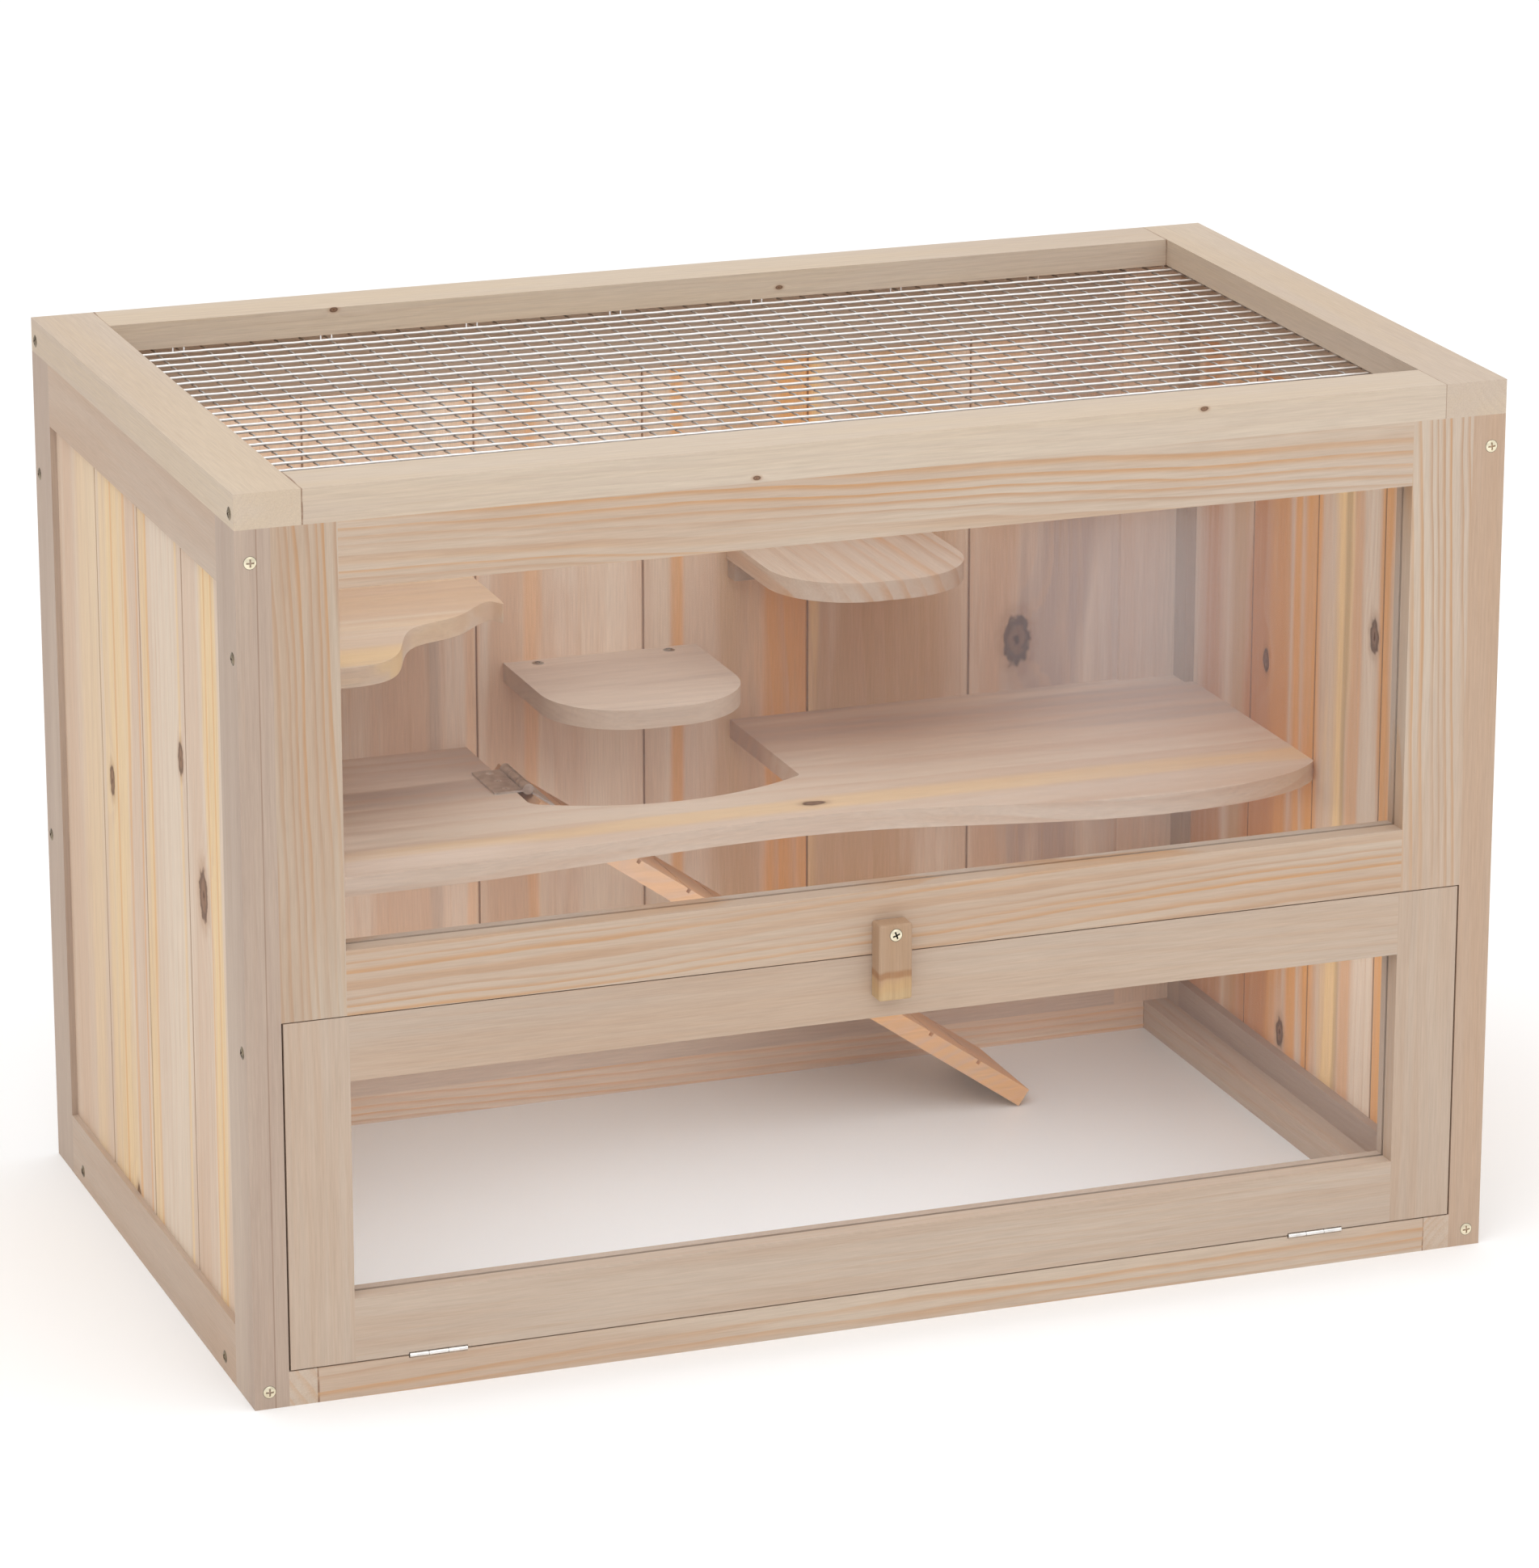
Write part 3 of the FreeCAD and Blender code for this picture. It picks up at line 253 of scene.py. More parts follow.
# Along the grain, then the two directions across it.
AXES = {
    "x": (0, 1, 2),
    "y": (1, 2, 0),
    "z": (2, 0, 1),
    "x_by_z": (0, 2, 1),
    "z_by_y": (2, 1, 0),
}

# The wood's noises: how much each is squeezed along the grain, so that it draws out into
# streaks, then an offset that sets it apart from the others, its scale, detail and roughness.
WANDER = (0.16, 0.0, 14.0, 2.0, 0.5)
WOBBLE = (0.22, 5.0, 60.0, 2.0, 0.5)
UNEVEN = (0.12, 3.0, 34.0, 2.0, 0.5)
FIBRES = (0.035, 7.0, 1500.0, 3.0, 0.62)
HAIRS = (0.02, 9.0, 520.0, 2.0, 0.6)
BROAD = (0.10, 11.0, 30.0, 3.0, 0.55)
NARROW = (0.05, 13.0, 120.0, 2.0, 0.5)
TONE = (0.25, 17.0, 9.0, 2.0, 0.5)
# How far the wandering and the wobble move the rings, in mm.
WANDER_REACH = 18
WOBBLE_REACH = 3.4
# Good and bad years: their length and how far they shift the rings, in rings.
YEARS = 2.6
YEARS_REACH = 1.9
# A knot: its squeeze along the grain, how ragged it is, how far it pushes the rings out (in its
# own radii) and how fast that push fades.
KNOT_SQUEEZE = 0.55
KNOT_RAGGED = 0.7
KNOT_PUSH = 2.2
KNOT_FADE = -0.16
KNOT_NOISE_SCALE = 260.0
# The dark line of a board joint: from the first half width it fades out to the second, in mm.
SEAM_CORE = 0.4
SEAM_EDGE = 1.0
FIBRE_RELIEF = 0.00005
WOOD_SPECULAR = 0.22


class Wood(Nodes):
    """The node tree of a softwood whose grain runs along one axis."""

    def __init__(self, name, grain, seed):
        super().__init__(name)
        self.axes = self.place()
        self.order = AXES[grain]
        self.along, self.across, self.up = [self.axes[index] for index in self.order]
        self.seed = seed

    def streaked(self, squeeze, shift):
        """The surface point, squeezed along the grain."""
        long = self.math("MULTIPLY_ADD", self.along, squeeze, self.seed + shift)
        return self.point(long, self.math("ADD", self.across, self.seed), self.up)

    def drawn_out(self, kind):
        """One of the noises above."""
        squeeze, shift, scale, detail, rough = kind
        return self.noise(self.streaked(squeeze, shift), scale, detail, rough)

    def swing(self, value, size):
        """A noise turned into a shift to either side; size is in mm."""
        return self.math("MULTIPLY", self.math("SUBTRACT", value, 0.5), size * MM)

    def fading(self, value, full, none):
        """1 up to full and 0 beyond none."""
        return self.math("SUBTRACT", 1.0, self.ramp(value, full, none))

    def from_pith(self, pith, tilt):
        """Distance from a wandering pith line, which sets the growth rings."""
        wander = self.swing(self.drawn_out(WANDER), WANDER_REACH)
        wobble = self.swing(self.drawn_out(WOBBLE), WOBBLE_REACH)
        leaned = self.math("MULTIPLY", self.along, tilt)
        u = self.math("ADD", self.math("SUBTRACT", self.across, pith[0] * MM), leaned)
        v = self.math("SUBTRACT", self.up, pith[1] * MM)
        square = self.math("ADD", self.math("MULTIPLY", u, u), self.math("MULTIPLY", v, v))
        return self.math("ADD", self.math("SQRT", square), self.math("ADD", wander, wobble))

    def from_knot(self, point, radius):
        """Distance from a knot in its own radii, drawn out along the grain."""
        steps = [self.math("SUBTRACT", self.axes[index], point[index] * MM) for index in self.order]
        steps[0] = self.math("MULTIPLY", steps[0], KNOT_SQUEEZE)
        squares = [self.math("MULTIPLY", step, step) for step in steps]
        total = self.math("ADD", self.math("ADD", squares[0], squares[1]), squares[2])
        away = self.math("DIVIDE", self.math("SQRT", total), radius * MM)
        ragged = self.noise(self.streaked(1.0, radius), KNOT_NOISE_SCALE, 2.0)
        return self.math("MULTIPLY_ADD", self.math("SUBTRACT", ragged, 0.5), KNOT_RAGGED, away)

    def push_round(self, away, radius, distance):
        """Bends the rings round a knot."""
        square = self.math("MULTIPLY", away, away)
        swell = self.math("POWER", math.e, self.math("MULTIPLY", square, KNOT_FADE))
        return self.math("MULTIPLY_ADD", swell, radius * MM * KNOT_PUSH, distance)

    def knot_stain(self, colour, knots_away):
        """Colours the stained rim, the heart, and the dark outline and middle of every knot."""
        rim, heart, outline = 0.0, 0.0, 0.0
        for away in knots_away:
            edge = self.math("SUBTRACT", self.ramp(away, 0.50, 0.72), self.ramp(away, 0.90, 1.15))
            middle = self.fading(away, 0.10, 0.28)
            rim = self.math("MAXIMUM", rim, self.fading(away, 0.9, 2.0))
            heart = self.math("MAXIMUM", heart, self.fading(away, 0.55, 0.75))
            outline = self.math("MAXIMUM", outline, self.math("MAXIMUM", edge, middle))
        colour = self.mix(self.math("MULTIPLY", rim, 0.40), colour, KNOT_RIM)
        colour = self.mix(self.math("MULTIPLY", heart, 0.8), colour, UMBER)
        return self.mix(self.math("MULTIPLY", outline, 0.8), colour, KNOT)

    def late_wood(self, distance, ring, years):
        """How much of the dark late wood shows. It grows through a ring and ends sharply."""
        shifted = self.math("ADD", distance, self.swing(years, YEARS_REACH * ring))
        wave = self.math("FRACT", self.math("DIVIDE", shifted, ring * MM))
        late = self.math("MULTIPLY", self.ramp(wave, 0.35, 0.88), self.fading(wave, 0.90, 1.0))
        uneven = self.ramp(self.drawn_out(UNEVEN), 0.3, 0.7)
        return self.math("MULTIPLY", late, self.math("MULTIPLY_ADD", uneven, 1.0, 0.25))

    def mark(self, colour, axis, place, half, stain, share, broad):
        """A coloured band whose edges drift with the broad patches."""
        drift = self.swing(broad, half * 0.7)
        off = self.math("ABSOLUTE", self.math("ADD", self.math("SUBTRACT", axis, place * MM), drift))
        inside = self.fading(off, 0.3 * half * MM, half * MM)
        return self.mix(self.math("MULTIPLY", inside, share), colour, stain)

    def seam(self, colour, place):
        """The thin dark line of a board joint."""
        off = self.math("ABSOLUTE", self.math("SUBTRACT", self.across, place * MM))
        inside = self.fading(off, SEAM_CORE * MM, SEAM_EDGE * MM)
        return self.mix(self.math("MULTIPLY", inside, 0.75), colour, UMBER)


def pine(name, grain, light=PALE, dark=PINK, patch=CREAM, ring=6.0, strength=0.5, streak=0.3, lift=1.0,
         pith=(60, 35), tilt=0.02, warm=0.0, hair=0.5, seed=0.0, knots=(), bands=(), stripes=(), seams=(),
         outside=None):
    """Softwood whose grain runs along one axis. Lengths are in millimetres.

    ring is the growth rings' spacing and pith where their centre line crosses the two other axes;
    tilt leans that line, which gives arched figure. strength is how dark the rings' late wood is
    and warm how far it turns orange. streak is how strongly patch shows, hair how strongly the
    fine dark lines show, and lift how bright the whole timber is; inside the cage a raised lift is
    painted light. knots are (point, radius).
    bands are (place across the grain, half width, colour, strength), stripes are the same but
    placed along the grain, and seams are places across it where a board joint runs. outside is
    (axis, place in metres): beyond that place the lift is OUTSIDE_LIFT instead, so the painted
    light stays on the inner face.
    """
    wood = Wood(name, grain, seed)
    distance = wood.from_pith(pith, tilt)
    knots_away = []
    for point, radius in knots:
        away = wood.from_knot(point, radius)
        distance = wood.push_round(away, radius, distance)
        knots_away.append(away)

    # Some years grow faster, so the rings are unevenly spaced.
    years = wood.noise(wood.point(distance, seed, 0.0), 1 / (YEARS * ring * MM), 1.0)
    late = wood.late_wood(distance, ring, years)
    fibres = wood.drawn_out(FIBRES)
    hairs = wood.ramp(wood.drawn_out(HAIRS), 0.55, 0.74)
    broad = wood.ramp(wood.drawn_out(BROAD), 0.42, 0.66)
    narrow = wood.ramp(wood.drawn_out(NARROW), 0.40, 0.70)
    tone = wood.ramp(wood.drawn_out(TONE), 0.35, 0.68)

    colour = wood.mix(wood.math("MULTIPLY", tone, 0.5), light, dark)
    colour = wood.mix(wood.math("MULTIPLY", broad, streak), colour, patch)
    colour = wood.mix(wood.math("MULTIPLY", narrow, 0.45 * streak), colour, dark)
    for band in bands:
        colour = wood.mark(colour, wood.across, *band, broad)
    for stripe in stripes:
        colour = wood.mark(colour, wood.along, *stripe, broad)
    warmth = wood.math("MULTIPLY", wood.ramp(years, 0.4, 0.6), warm)
    late_colour = wood.mix(warmth, dark, ORANGE)
    colour = wood.mix(wood.math("MULTIPLY", late, strength), colour, late_colour)
    colour = wood.mix(wood.math("MULTIPLY", hairs, 0.3 * hair), colour, TAN)

    bright = lift
    if outside:
        axis, place = outside
        beyond = wood.math("GREATER_THAN", wood.axes["XYZ".index(axis)], place)
        bright = wood.math("MULTIPLY_ADD", beyond, OUTSIDE_LIFT - lift, lift)
    fibrous = wood.math("MULTIPLY_ADD", fibres, 0.34, 0.83)
    colour = wood.scaled(colour, wood.math("MULTIPLY", fibrous, bright))
    for place in seams:
        colour = wood.seam(colour, place)
    if knots:
        colour = wood.knot_stain(colour, knots_away)
    wood.bump(wood.math("MULTIPLY_ADD", late, 0.5, fibres), FIBRE_RELIEF)
    wood.shader.inputs["Specular IOR Level"].default_value = WOOD_SPECULAR
    return wood.finish(colour, wood.math("MULTIPLY_ADD", late, -0.08, 0.66))


# ---------------------------------------------------------------- other materials

# Acrylic: how strongly it mirrors head on, how much of the mirror's light is kept, and how much
# of the sheet is veiled by dust and by a faint pale patch, which is a painted reflection.
HEAD_ON = 0.04
MIRROR_SHARE = 0.45
DUST = 0.012
REFLECTION_PATCH_SHARE = 0.07


def acrylic(name, painted_reflection_at=None):
    """Clear sheet: mostly see-through, with a pale sheen that strengthens at a glancing angle."""
    nodes = Nodes(name)
    x, y, z = nodes.place()
    soft = nodes.noise(nodes.point(x, y, z), 7.0, 2.0)
    share = nodes.math("MULTIPLY", soft, DUST)
    # Painted reflection: a faint pale patch that veils part of the sheet.
    if painted_reflection_at:
        share = nodes.math("ADD", share, painted_reflection_patch(nodes, x, z, *painted_reflection_at))
    # Schlick's curve, which is the same for both faces of the sheet.
    facing = nodes.tree.nodes.new("ShaderNodeLayerWeight").outputs["Facing"]
    mirrored = nodes.math("MULTIPLY_ADD", nodes.math("POWER", facing, 5.0), 1 - HEAD_ON, HEAD_ON)
    share = nodes.math("MINIMUM", nodes.math("MULTIPLY_ADD", mirrored, MIRROR_SHARE, share), 1.0)
    clear = nodes.tree.nodes.new("ShaderNodeBsdfTransparent")
    clear.inputs["Color"].default_value = (0.985, 0.99, 1.0, 1)
    both = nodes.tree.nodes.new("ShaderNodeMixShader")
    nodes.link(share, both.inputs["Fac"])
    nodes.tree.links.new(clear.outputs[0], both.inputs[1])
    nodes.tree.links.new(nodes.shader.outputs[0], both.inputs[2])
    output = nodes.tree.nodes["Material Output"]
    nodes.tree.links.new(both.outputs[0], output.inputs["Surface"])
    colour = nodes.mix(soft, (0.72, 0.78, 0.88), (0.82, 0.86, 0.92))
    return nodes.finish(colour, 0.05)


def painted_reflection_patch(nodes, x, z, middle_x, middle_z, reach_x, reach_z):
    """A soft round pale patch on the sheet, a painted reflection, placed in mm."""
    u = nodes.math("DIVIDE", nodes.math("SUBTRACT", x, middle_x * MM), reach_x * MM)
    v = nodes.math("DIVIDE", nodes.math("SUBTRACT", z, middle_z * MM), reach_z * MM)
    away = nodes.math("ADD", nodes.math("MULTIPLY", u, u), nodes.math("MULTIPLY", v, v))
    return nodes.math("MULTIPLY", nodes.math("POWER", math.e, nodes.math("MULTIPLY", away, -1.0)), REFLECTION_PATCH_SHARE)


# A front screw nearer than this to the middle is the button's own.
BUTTON_REACH = 20 * MM
# Painted shade: a front screw starts to darken this far in front of its rim, and is dark all over behind
# it.
RECESS_SHADE_START = 0.18 * MM
# Screws above this height hold shelves; those below it hold hinges.
SHELF_SCREWS_FROM = 200 * MM
SHELF_SCREWS_FULL = 210 * MM


def painted_recess_shade(nodes, x, y, z):
    """1 in the cross and round the rim of a front screw's head, where painted shade darkens it; the rim is
    level with the wood.
    """
    on_button = nodes.math("LESS_THAN", nodes.math("ABSOLUTE", x), BUTTON_REACH)
    level = nodes.math("MULTIPLY_ADD", on_button, BUTTON_FACE - FRONT_FACE, FRONT_FACE)
    return nodes.ramp(nodes.math("SUBTRACT", y, level), -RECESS_SHADE_START, 0.0)


def above_floor(nodes, x, y, z):
    """The screws in the shelves above the upper floor are duller than those in the hinges."""
    return nodes.math("MULTIPLY", nodes.ramp(z, SHELF_SCREWS_FROM, SHELF_SCREWS_FULL), 0.55)


# Near-black mixed into screws: painted shade in the front screws' crosses and rims, and the darkening of
# the shelf screws.
SCREW_DARK = (0.012, 0.010, 0.008)
# Painted shade on the lid wires' sides and on the lower wires.
WIRE_SHADE = (0.45, 0.41, 0.38)


def metal(name, light, dark, rough, darkening=None, dark_colour=SCREW_DARK):
    """Plated metal. An optional function of the tree and the place says where a dark colour is mixed in; on
    the front screws and the wires that is painted shade.
    """
    nodes = Nodes(name)
    x, y, z = nodes.place()
    at = nodes.point(x, y, z)
    worn = nodes.noise(at, 240.0, 3.0)
    fine = nodes.noise(at, 900.0, 3.0)
    nodes.shader.inputs["Metallic"].default_value = 1.0
    nodes.bump(fine, 0.00002)
    colour = nodes.mix(nodes.ramp(worn, 0.35, 0.7), light, dark)
    if darkening:
        colour = nodes.mix(nodes.math("MULTIPLY", darkening(nodes, x, y, z), 0.95), colour, dark_colour)
    return nodes.finish(colour, nodes.math("MULTIPLY_ADD", fine, 0.16, rough))


def floor_sheet_paint():
    """The pale, faintly uneven laminate of the floor sheet."""
    nodes = Nodes("floor_laminate")
    at = nodes.point(*nodes.place())
    soft = nodes.noise(at, 4.0, 2.0)
    fine = nodes.noise(at, 700.0, 2.0)
    nodes.bump(fine, 0.00003)
    colour = nodes.mix(soft, (0.86, 0.89, 0.90), (0.91, 0.935, 0.945))
    return nodes.finish(colour, nodes.math("MULTIPLY_ADD", fine, 0.12, 0.32))


# ---------------------------------------------------------------- which wood each timber is

def wear(node, material):
    """Gives a node's object its material."""
    mesh = NODES[node].data
    mesh.materials.clear()
    mesh.materials.append(material)
    for face in mesh.polygons:
        face.material_index = 0


# A joint's dark line at the end of a rail: its half width in mm and how dark it is.
END_LINE = 0.9
END_DARK = 0.75


def rail(node, grain, **look):
    """A rail between two other timbers, with the thin dark line of a joint at both its ends."""
    low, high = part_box(node)
    axis = "xyz".index(grain[0])
    ends = tuple((corner[axis] / MM, END_LINE, UMBER, END_DARK) for corner in (low, high))
    wear(node, pine(node, grain, stripes=ends, **look))


def plain_timber(node, grain, **look):
    """A timber whose ends are free or hidden."""
    wear(node, pine(node, grain, **look))


def striped(**more):
    """Pine with clear warm rings, as in the fixed front frame."""
    look = dict(light=PALE, dark=PINK, patch=CREAM, ring=4.6, strength=0.85, streak=0.6,
                warm=0.55, lift=0.97)
    return {**look, **more}


def quiet(**more):
    """Pine with faint figure, as in the side frames and the lid."""
    look = dict(light=BEIGE, dark=PINK, patch=PALE, ring=3.2, strength=0.22, streak=0.5, hair=0.35)
    return {**look, **more}


# How bright the wood is inside the cage, raised as painted light for the dimmer light in there,
# and on the outer face of those same boards.
INSIDE_PAINTED_LIGHT = 1.50
OUTSIDE_LIFT = 1.12
BACK_BOARDS = 6
SIDE_BOARDS = 4


def dress_panel_frames():
    """The stiles and rails of the two sides and the back."""
    frame_woods = {
        "left_front_stile": ("z", dict(light=BEIGE, dark=MAUVE, seed=1.0, pith=(-330, -90),
                                       bands=((-290.5, 0.4, UMBER, 0.45),))),
        "left_back_stile": ("z", dict(light=BEIGE, dark=MAUVE, seed=2.0, pith=(-330, 220))),
        "left_top_rail": ("y", dict(seed=3.0, pith=(420, -330))),
        "left_bottom_rail": ("y", dict(seed=4.0, pith=(-40, -330))),
        "right_front_stile": ("z", dict(patch=PINK, seed=5.0, pith=(330, -220))),
        "right_back_stile": ("z", dict(seed=6.0, pith=(330, 220))),
        "right_top_rail": ("y", dict(seed=7.0, pith=(430, 330))),
        "right_bottom_rail": ("y", dict(dark=MAUVE, seed=8.0, pith=(-50, 330))),
        # The back's stiles and bottom rail face into the cage and are brightened as painted light.
        "back_left_stile": ("z", dict(seed=9.0, pith=(-300, 210), lift=INSIDE_PAINTED_LIGHT)),
        "back_right_stile": ("z", dict(seed=10.0, pith=(300, 210), lift=INSIDE_PAINTED_LIGHT)),
        "back_top_rail": ("x", dict(seed=11.0, pith=(200, 430))),
        "back_bottom_rail": ("x", dict(seed=12.0, pith=(210, -10), dark=MAUVE, lift=INSIDE_PAINTED_LIGHT)),
    }
    for node, (grain, look) in frame_woods.items():
        dress = rail if node.endswith("rail") else plain_timber
        dress(node, grain, **quiet(**look))


def dress_side_boards(node, pith_x, knots, bands, **look):
    """A side's four boards. Their grain runs up and their place across it is their Y."""
    low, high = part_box(node)
    wide = (high.y - low.y) / SIDE_BOARDS / MM
    joints = [low.y / MM + wide * index for index in range(1, SIDE_BOARDS)]
    wear(node, pine(node, "z_by_y", light=PALE, dark=PINK, patch=CREAM, ring=6.0, strength=0.3,
                    streak=0.3, hair=1.0, pith=(40, pith_x), tilt=0.02,
                    knots=knots, bands=bands, seams=joints, **look))


def dress_left_boards():
    knots = (((-297, 58, 225), 4.0), ((-297, -66, 271), 4.0), ((-297, -99, 217), 6.5),
             ((-297, 31, 28), 3.2))
    bands = (
        (124, 15, PINK, 0.4), (92, 20, YELLOW, 0.35), (64, 9, YELLOW, 0.5), (40, 20, YELLOW, 0.65),
        (47, 2, ORANGE, 0.6), (25, 3, ORANGE, 0.55), (12, 14, PINK, 0.3), (5, 2, ORANGE, 0.6),
        (-10, 11, YELLOW, 0.6), (-14, 2.5, ORANGE, 0.5), (-44, 28, CREAM, 0.7), (-66, 3, YELLOW, 0.6),
        (-90, 16, PINK, 0.35), (-118, 14, YELLOW, 0.7), (-112, 1.5, ORANGE, 0.5),
        (-123, 1.5, ORANGE, 0.5),
    )
    dress_side_boards("left_boards", -360, knots, bands, lift=1.19, seed=21.0)


def dress_right_boards():
    knots = (((289, -66, 270), 4.5), ((289, 57, 225), 3.2), ((289, 31, 39), 4.0))
    bands = (
        (125, 34, RUST, 0.7), (88, 12, TAN, 0.8), (54, 34, RUST, 0.9), (40, 14, ORANGE, 0.5),
        (20, 8, ORANGE, 0.95), (0, 14, ORANGE, 1.0), (-28, 16, YELLOW, 0.85), (-34, 5, UMBER, 0.35),
        (-46, 9, ORANGE, 0.5), (-63, 12, CREAM, 0.9), (-80, 10, ORANGE, 0.9), (-92, 5, UMBER, 0.5),
    )
    low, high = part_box("right_boards")
    # Painted light: the boards' inner face is brightened for the dim inside of the cage, and the outer face
    # keeps OUTSIDE_LIFT.
    dress_side_boards("right_boards", 360, knots, bands, lift=INSIDE_PAINTED_LIGHT, seed=23.0,
                      outside=("X", (low.x + high.x) / 2))


def dress_back_boards():
    """The back's boards, whose colour bands run on from board to board along X."""
    # The tan band round 125 mm is a painted shadow of the high perch.
    bands = (
        (-130, 22, PINK, 0.7), (-110, 5, SLATE, 0.35), (-90, 5, ORANGE, 0.35), (-68, 20, PINK, 0.9),
        (-57, 5, ORANGE, 0.5), (-24, 20, CREAM, 0.6), (7, 8, CREAM, 0.7), (16, 5, ORANGE, 0.75),
        (48, 16, TAN, 0.75), (74, 19, ORANGE, 0.9), (90, 5, YELLOW, 0.6), (125, 40, TAN, 0.8),
        (186, 18, PINK, 0.9), (222, 30, MAUVE, 0.95), (262, 20, MAUVE, 0.9), (292, 14, MAUVE, 0.9),
    )
    last_board_knot = (((199, 162, 216), 7.0),)
    for index in range(1, BACK_BOARDS + 1):
        node = f"back_board_{index}"
        low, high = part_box(node)
        # Painted light: the first three boards, at the left, are brightened further, out of the shade in
        # the corner under the corner shelf.
        lift = INSIDE_PAINTED_LIGHT * (1.0 + 0.08 * max(0, 4 - index))
        wear(node, pine(node, "z", light=PALE, dark=PINK, patch=CREAM, ring=7.0, strength=0.35,
                        streak=0.5, hair=0.8, lift=lift, pith=(40 * index - 150, 240),
                        seed=30.0 + index, knots=last_board_knot if index == BACK_BOARDS else (),
                        bands=bands, seams=(low.x / MM, high.x / MM),
                        outside=("Y", (low.y + high.y) / 2)))


def dress_front():
    """The fixed front frame and the door's frame."""
    plain_timber("front_left_stile", "z", **striped(light=CREAM, patch=PINK, ring=4.0, lift=0.9,
                                                    pith=(-330, -165), seed=41.0, tilt=0.03))
    plain_timber("front_right_stile", "z", **striped(pith=(205, -165), seed=42.0, tilt=0.03))
    rail("front_top_rail", "x_by_z", **striped(pith=(330, -165), seed=43.0, tilt=0.03))
    rail("front_bottom_rail", "x_by_z", **striped(pith=(250, -165), seed=44.0, tilt=-0.03))
    door_look = dict(light=PALE, dark=PINK, patch=BEIGE, streak=0.6, lift=0.95)
    for side, sign in (("left", -1), ("right", 1)):
        look = quiet(seed=50.0 + sign, pith=(sign * 240, -120), **door_look)
        plain_timber(f"door_{side}_stile", "z", **look)
    for side, height in (("top", 230), ("bottom", -30)):
        look = quiet(seed=55.0 + height, pith=(height, -100), **door_look)
        rail(f"door_{side}_rail", "x_by_z", **look)


def dress_floor_frame():
    """The floor's four rails and its sheet."""
    for side, grain, pith in (("left", "y", (-20, -320)), ("right", "y", (-25, 320)),
                              ("front", "x", (-150, -25)), ("back", "x", (150, -25))):
        node = f"floor_{side}_rail"
        # The back rail faces into the cage and is brightened as painted light.
        lift = INSIDE_PAINTED_LIGHT if side == "back" else 1.0
        # The side rails show their end grain at the front, where the rings are faint.
        between = grain == "x"
        look = striped(ring=4.4, strength=0.7 if between else 0.3, pith=pith, lift=lift,
                       seed=60.0 + pith[0])
        dress = rail if between else plain_timber
        dress(node, grain, **look)
    wear("floor_sheet", floor_sheet_paint())


def dress_shelves():
    """The upper floor, the shelves and their battens, the ramp and the button. The raised lifts of the
    timbers inside the cage are painted light.
    """
    # On the upper floor the mauve band at the back is painted shade, and the pale stripe at the left is
    # painted light against the left side's shadow.
    wear("main_platform", pine("main_platform", "x", light=PALE, dark=PINK, patch=CREAM, ring=11.0,
                               strength=0.45, streak=0.5, lift=1.46, pith=(10, 120), seed=71.0,
                               knots=(((36, 17, 190), 3.0),),
                               bands=((12, 14, YELLOW, 0.5), (38, 20, CREAM, 0.6), (130, 50, MAUVE, 0.7)),
                               stripes=((-270, 150, PAINTED_LIGHT_PALE, 0.6),)))
    wear("corner_platform", pine("corner_platform", "x", light=CREAM, dark=PINK, patch=YELLOW, ring=10.0,
                                 strength=0.35, streak=0.4, lift=1.42, pith=(30, 220), tilt=0.03, seed=72.0,
                                 bands=((22, 16, YELLOW, 0.7), (110, 45, PINK, 0.5))))
    wear("low_perch", pine("low_perch", "x", **quiet(light=PALE, dark=MAUVE, pith=(100, 160),
                                                     lift=1.34, seed=73.0)))
    wear("high_perch", pine("high_perch", "y", **striped(ring=9.5, pith=(220, -40), lift=1.3, seed=74.0)))
    wear("shelf_cleats", pine("shelf_cleats", "x", **quiet(pith=(120, 150), seed=75.0)))
    wear("ramp_board", pine("ramp_board", "x", light=TAN, dark=MAUVE, patch=ORANGE, ring=6.0, strength=0.35,
                            streak=0.4, lift=1.7, pith=(60, 150), tilt=0.5, seed=76.0))
    wear("turn_button", button_pine())


def button_pine():
    """The button's grain runs up; a reddish ring crosses it above its yellower tail."""
    return pine("turn_button", "z", light=PINK, dark=TAN, patch=PALE, ring=4.5, strength=0.25,
                streak=0.2, lift=0.9, pith=(60, -120), seed=77.0, tilt=0.05,
                stripes=((163, 9, YELLOW, 0.55), (168, 6, ORANGE, 0.25), (172, 2.4, KNOT_RIM, 0.7)))


def dress_lid():
    """The lid's rails. The front and back ones stand between the side ones."""
    for side, grain, pith, knots in (
        ("left", "y", (440, -330), ()),
        ("right", "y", (440, 330), ()),
        ("front", "x", (-130, 450), (((-63, -175, 406), 1.0), ((150, -175, 419), 1.1))),
        ("back", "x", (130, 450), (((-160, 145, 419), 1.2), ((65, 145, 412), 1.0))),
    ):
        node = f"lid_{side}_rail"
        look = quiet(light=CREAM, dark=BEIGE, patch=YELLOW, strength=0.3, streak=0.15, pith=pith,
                     seed=80.0 + pith[0], tilt=0.01)
        dress = rail if grain == "x" else plain_timber
        dress(node, grain, knots=knots, **look)


BRIGHT_ZINC = (0.95, 0.94, 0.92)
WORN_ZINC = (0.80, 0.79, 0.77)


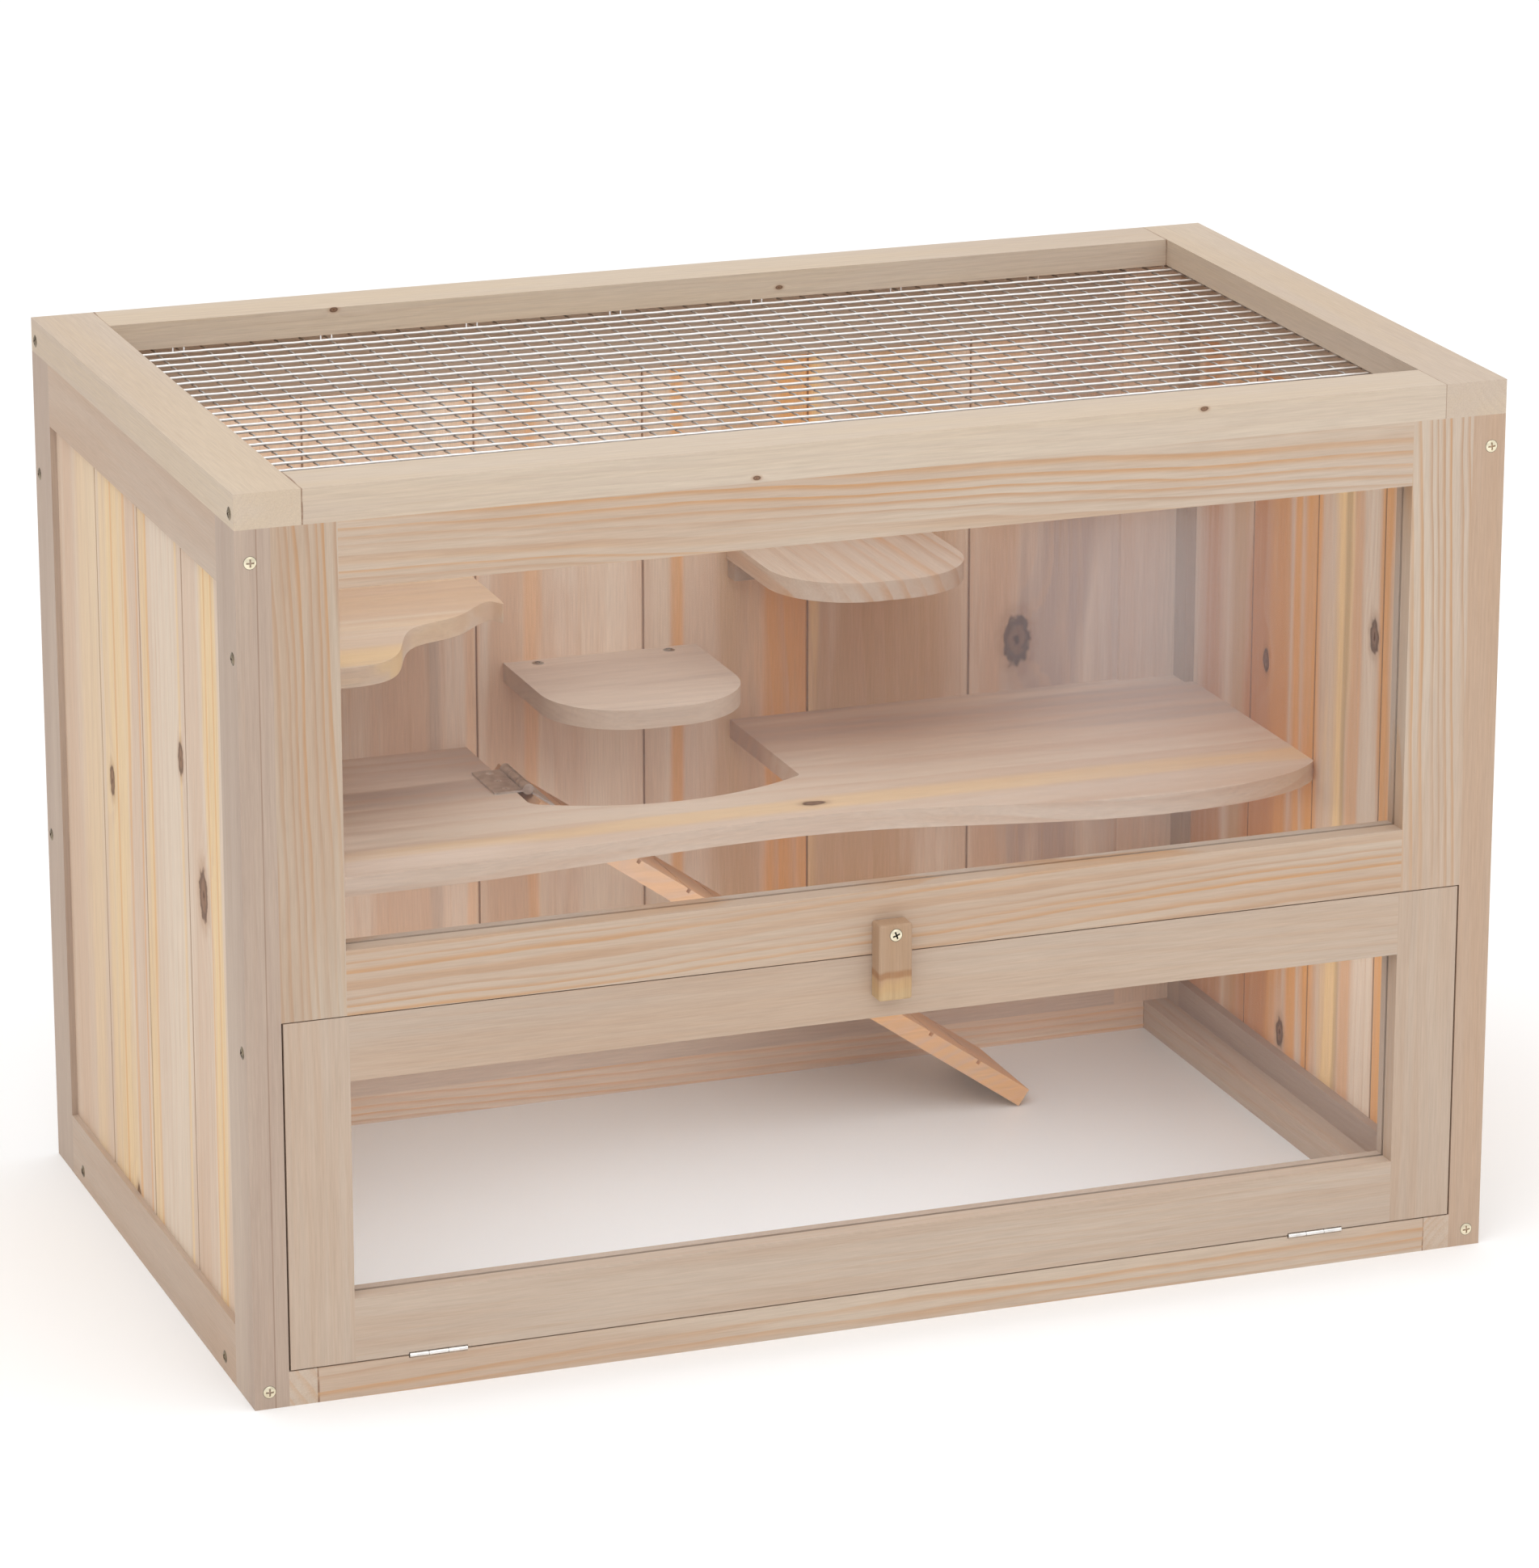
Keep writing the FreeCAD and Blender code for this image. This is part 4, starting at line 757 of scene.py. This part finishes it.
def dress_fittings():
    """The panes, hinges, screws and staples."""
    zinc = metal("zinc_plate", (0.74, 0.71, 0.68), (0.58, 0.55, 0.52), 0.30)
    bright = metal("bright_zinc", BRIGHT_ZINC, WORN_ZINC, 0.24)
    brass = metal("yellow_zinc", (0.90, 0.82, 0.62), (0.74, 0.66, 0.48), 0.30, darkening=painted_recess_shade)
    dark = metal("dark_screw", (0.30, 0.24, 0.16), (0.14, 0.11, 0.08), 0.36)
    # The faint bright patch on the upper pane, a painted reflection: its middle and reach along X and Z, in
    # mm.
    wear("front_window", acrylic("front_pane", painted_reflection_at=(124, 331, 60, 80)))
    wear("door_window", acrylic("door_pane"))
    for node in ("ramp_hinge_top_leaf", "ramp_hinge_ramp_leaf", "lid_hinge_case_leaves",
                 "lid_hinge_lid_leaves"):
        wear(node, zinc)
    for node in ("door_hinge_floor_leaves", "door_hinge_door_leaves", "door_screws", "ramp_screws",
                 "lid_staples"):
        wear(node, bright)
    mixed = metal("shelf_and_hinge_zinc", BRIGHT_ZINC, WORN_ZINC, 0.24, darkening=above_floor)
    wear("fitting_screws", mixed)
    wear("front_screws", brass)
    for node in ("side_screws", "lid_screws"):
        wear(node, dark)


# ---------------------------------------------------------------- lid mesh

PITCH = 12.1 * MM
LONG_RADIUS = 0.75 * MM
CROSS_WIRES = 46
LONG_WIRES = 26
# The long wires lie on the cross wires, which are thinner and bend down under each of them.
LONG_RISE = 0.35 * MM
LONG_CRIMP = 0.06 * MM
CROSS_DROP = 0.25 * MM
CROSS_CRIMP = 0.35 * MM
CROSS_RADIUS = 0.45 * MM
# Above the mesh's middle, where a wire's painted shade starts to fade and where it is gone, so the wire is
# brightest.
SHADE_FADE_START = 0.2 * MM
SHADE_GONE_AT = 0.9 * MM
STEPS_PER_CROSSING = 6
WIRE_SIDES = 8


def crimped_wire(form, crossings, fixed, along_x, level, crimp, reach, radius):
    """One wire, a little higher or lower wherever another wire crosses it."""
    steps = crossings * STEPS_PER_CROSSING
    rings = []
    for step in range(steps + 1):
        along = -reach + 2 * reach * step / steps
        turns = along / PITCH + (crossings - 1) / 2
        height = level + crimp * math.cos(2 * math.pi * turns)
        ring = []
        for side in range(WIRE_SIDES):
            angle = 2 * math.pi * side / WIRE_SIDES
            out = fixed + radius * math.cos(angle)
            rise = height + radius * math.sin(angle)
            ring.append(form.verts.new((along, out, rise) if along_x else (out, along, rise)))
        rings.append(ring)
    for first, second in zip(rings, rings[1:]):
        for side in range(WIRE_SIDES):
            after = (side + 1) % WIRE_SIDES
            form.faces.new((first[side], first[after], second[after], second[side]))
    form.faces.new(rings[0])
    form.faces.new(rings[-1])


def wire_metal(middle):
    """Galvanised wire, bright on top, with painted shade that darkens its sides and the wires below."""
    def painted_shade_below(nodes, x, y, z):
        return nodes.math("SUBTRACT", 1.0, nodes.ramp(z, middle + SHADE_FADE_START, middle + SHADE_GONE_AT))

    return metal("galvanised_wire", (0.96, 0.95, 0.93), (0.84, 0.83, 0.82), 0.38,
                 darkening=painted_shade_below, dark_colour=WIRE_SHADE)


def lay_mesh():
    """The lid's wires, in the box of the CAD node that they replace."""
    low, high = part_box("lid_mesh")
    middle = (low.z + high.z) / 2
    form = bmesh.new()
    for index in range(CROSS_WIRES):
        x = (index - (CROSS_WIRES - 1) / 2) * PITCH
        crimped_wire(form, LONG_WIRES, x, False, middle - CROSS_DROP, -CROSS_CRIMP, high.y, CROSS_RADIUS)
    for index in range(LONG_WIRES):
        y = (index - (LONG_WIRES - 1) / 2) * PITCH
        crimped_wire(form, CROSS_WIRES, y, True, middle + LONG_RISE, LONG_CRIMP, high.x, LONG_RADIUS)
    bmesh.ops.recalc_face_normals(form, faces=form.faces)
    for face in form.faces:
        face.smooth = True
    mesh = bpy.data.meshes.new("wire_grid")
    form.to_mesh(mesh)
    form.free()
    mesh.materials.append(wire_metal(middle))
    grid = bpy.data.objects.new("wire_grid", mesh)
    bpy.context.scene.collection.objects.link(grid)
    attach(grid, "lid")
    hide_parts("lid_mesh")


make_camera()
make_studio()
make_floor()
dress_panel_frames()
dress_left_boards()
dress_right_boards()
dress_back_boards()
dress_front()
dress_floor_frame()
dress_shelves()
dress_lid()
dress_fittings()
lay_mesh()
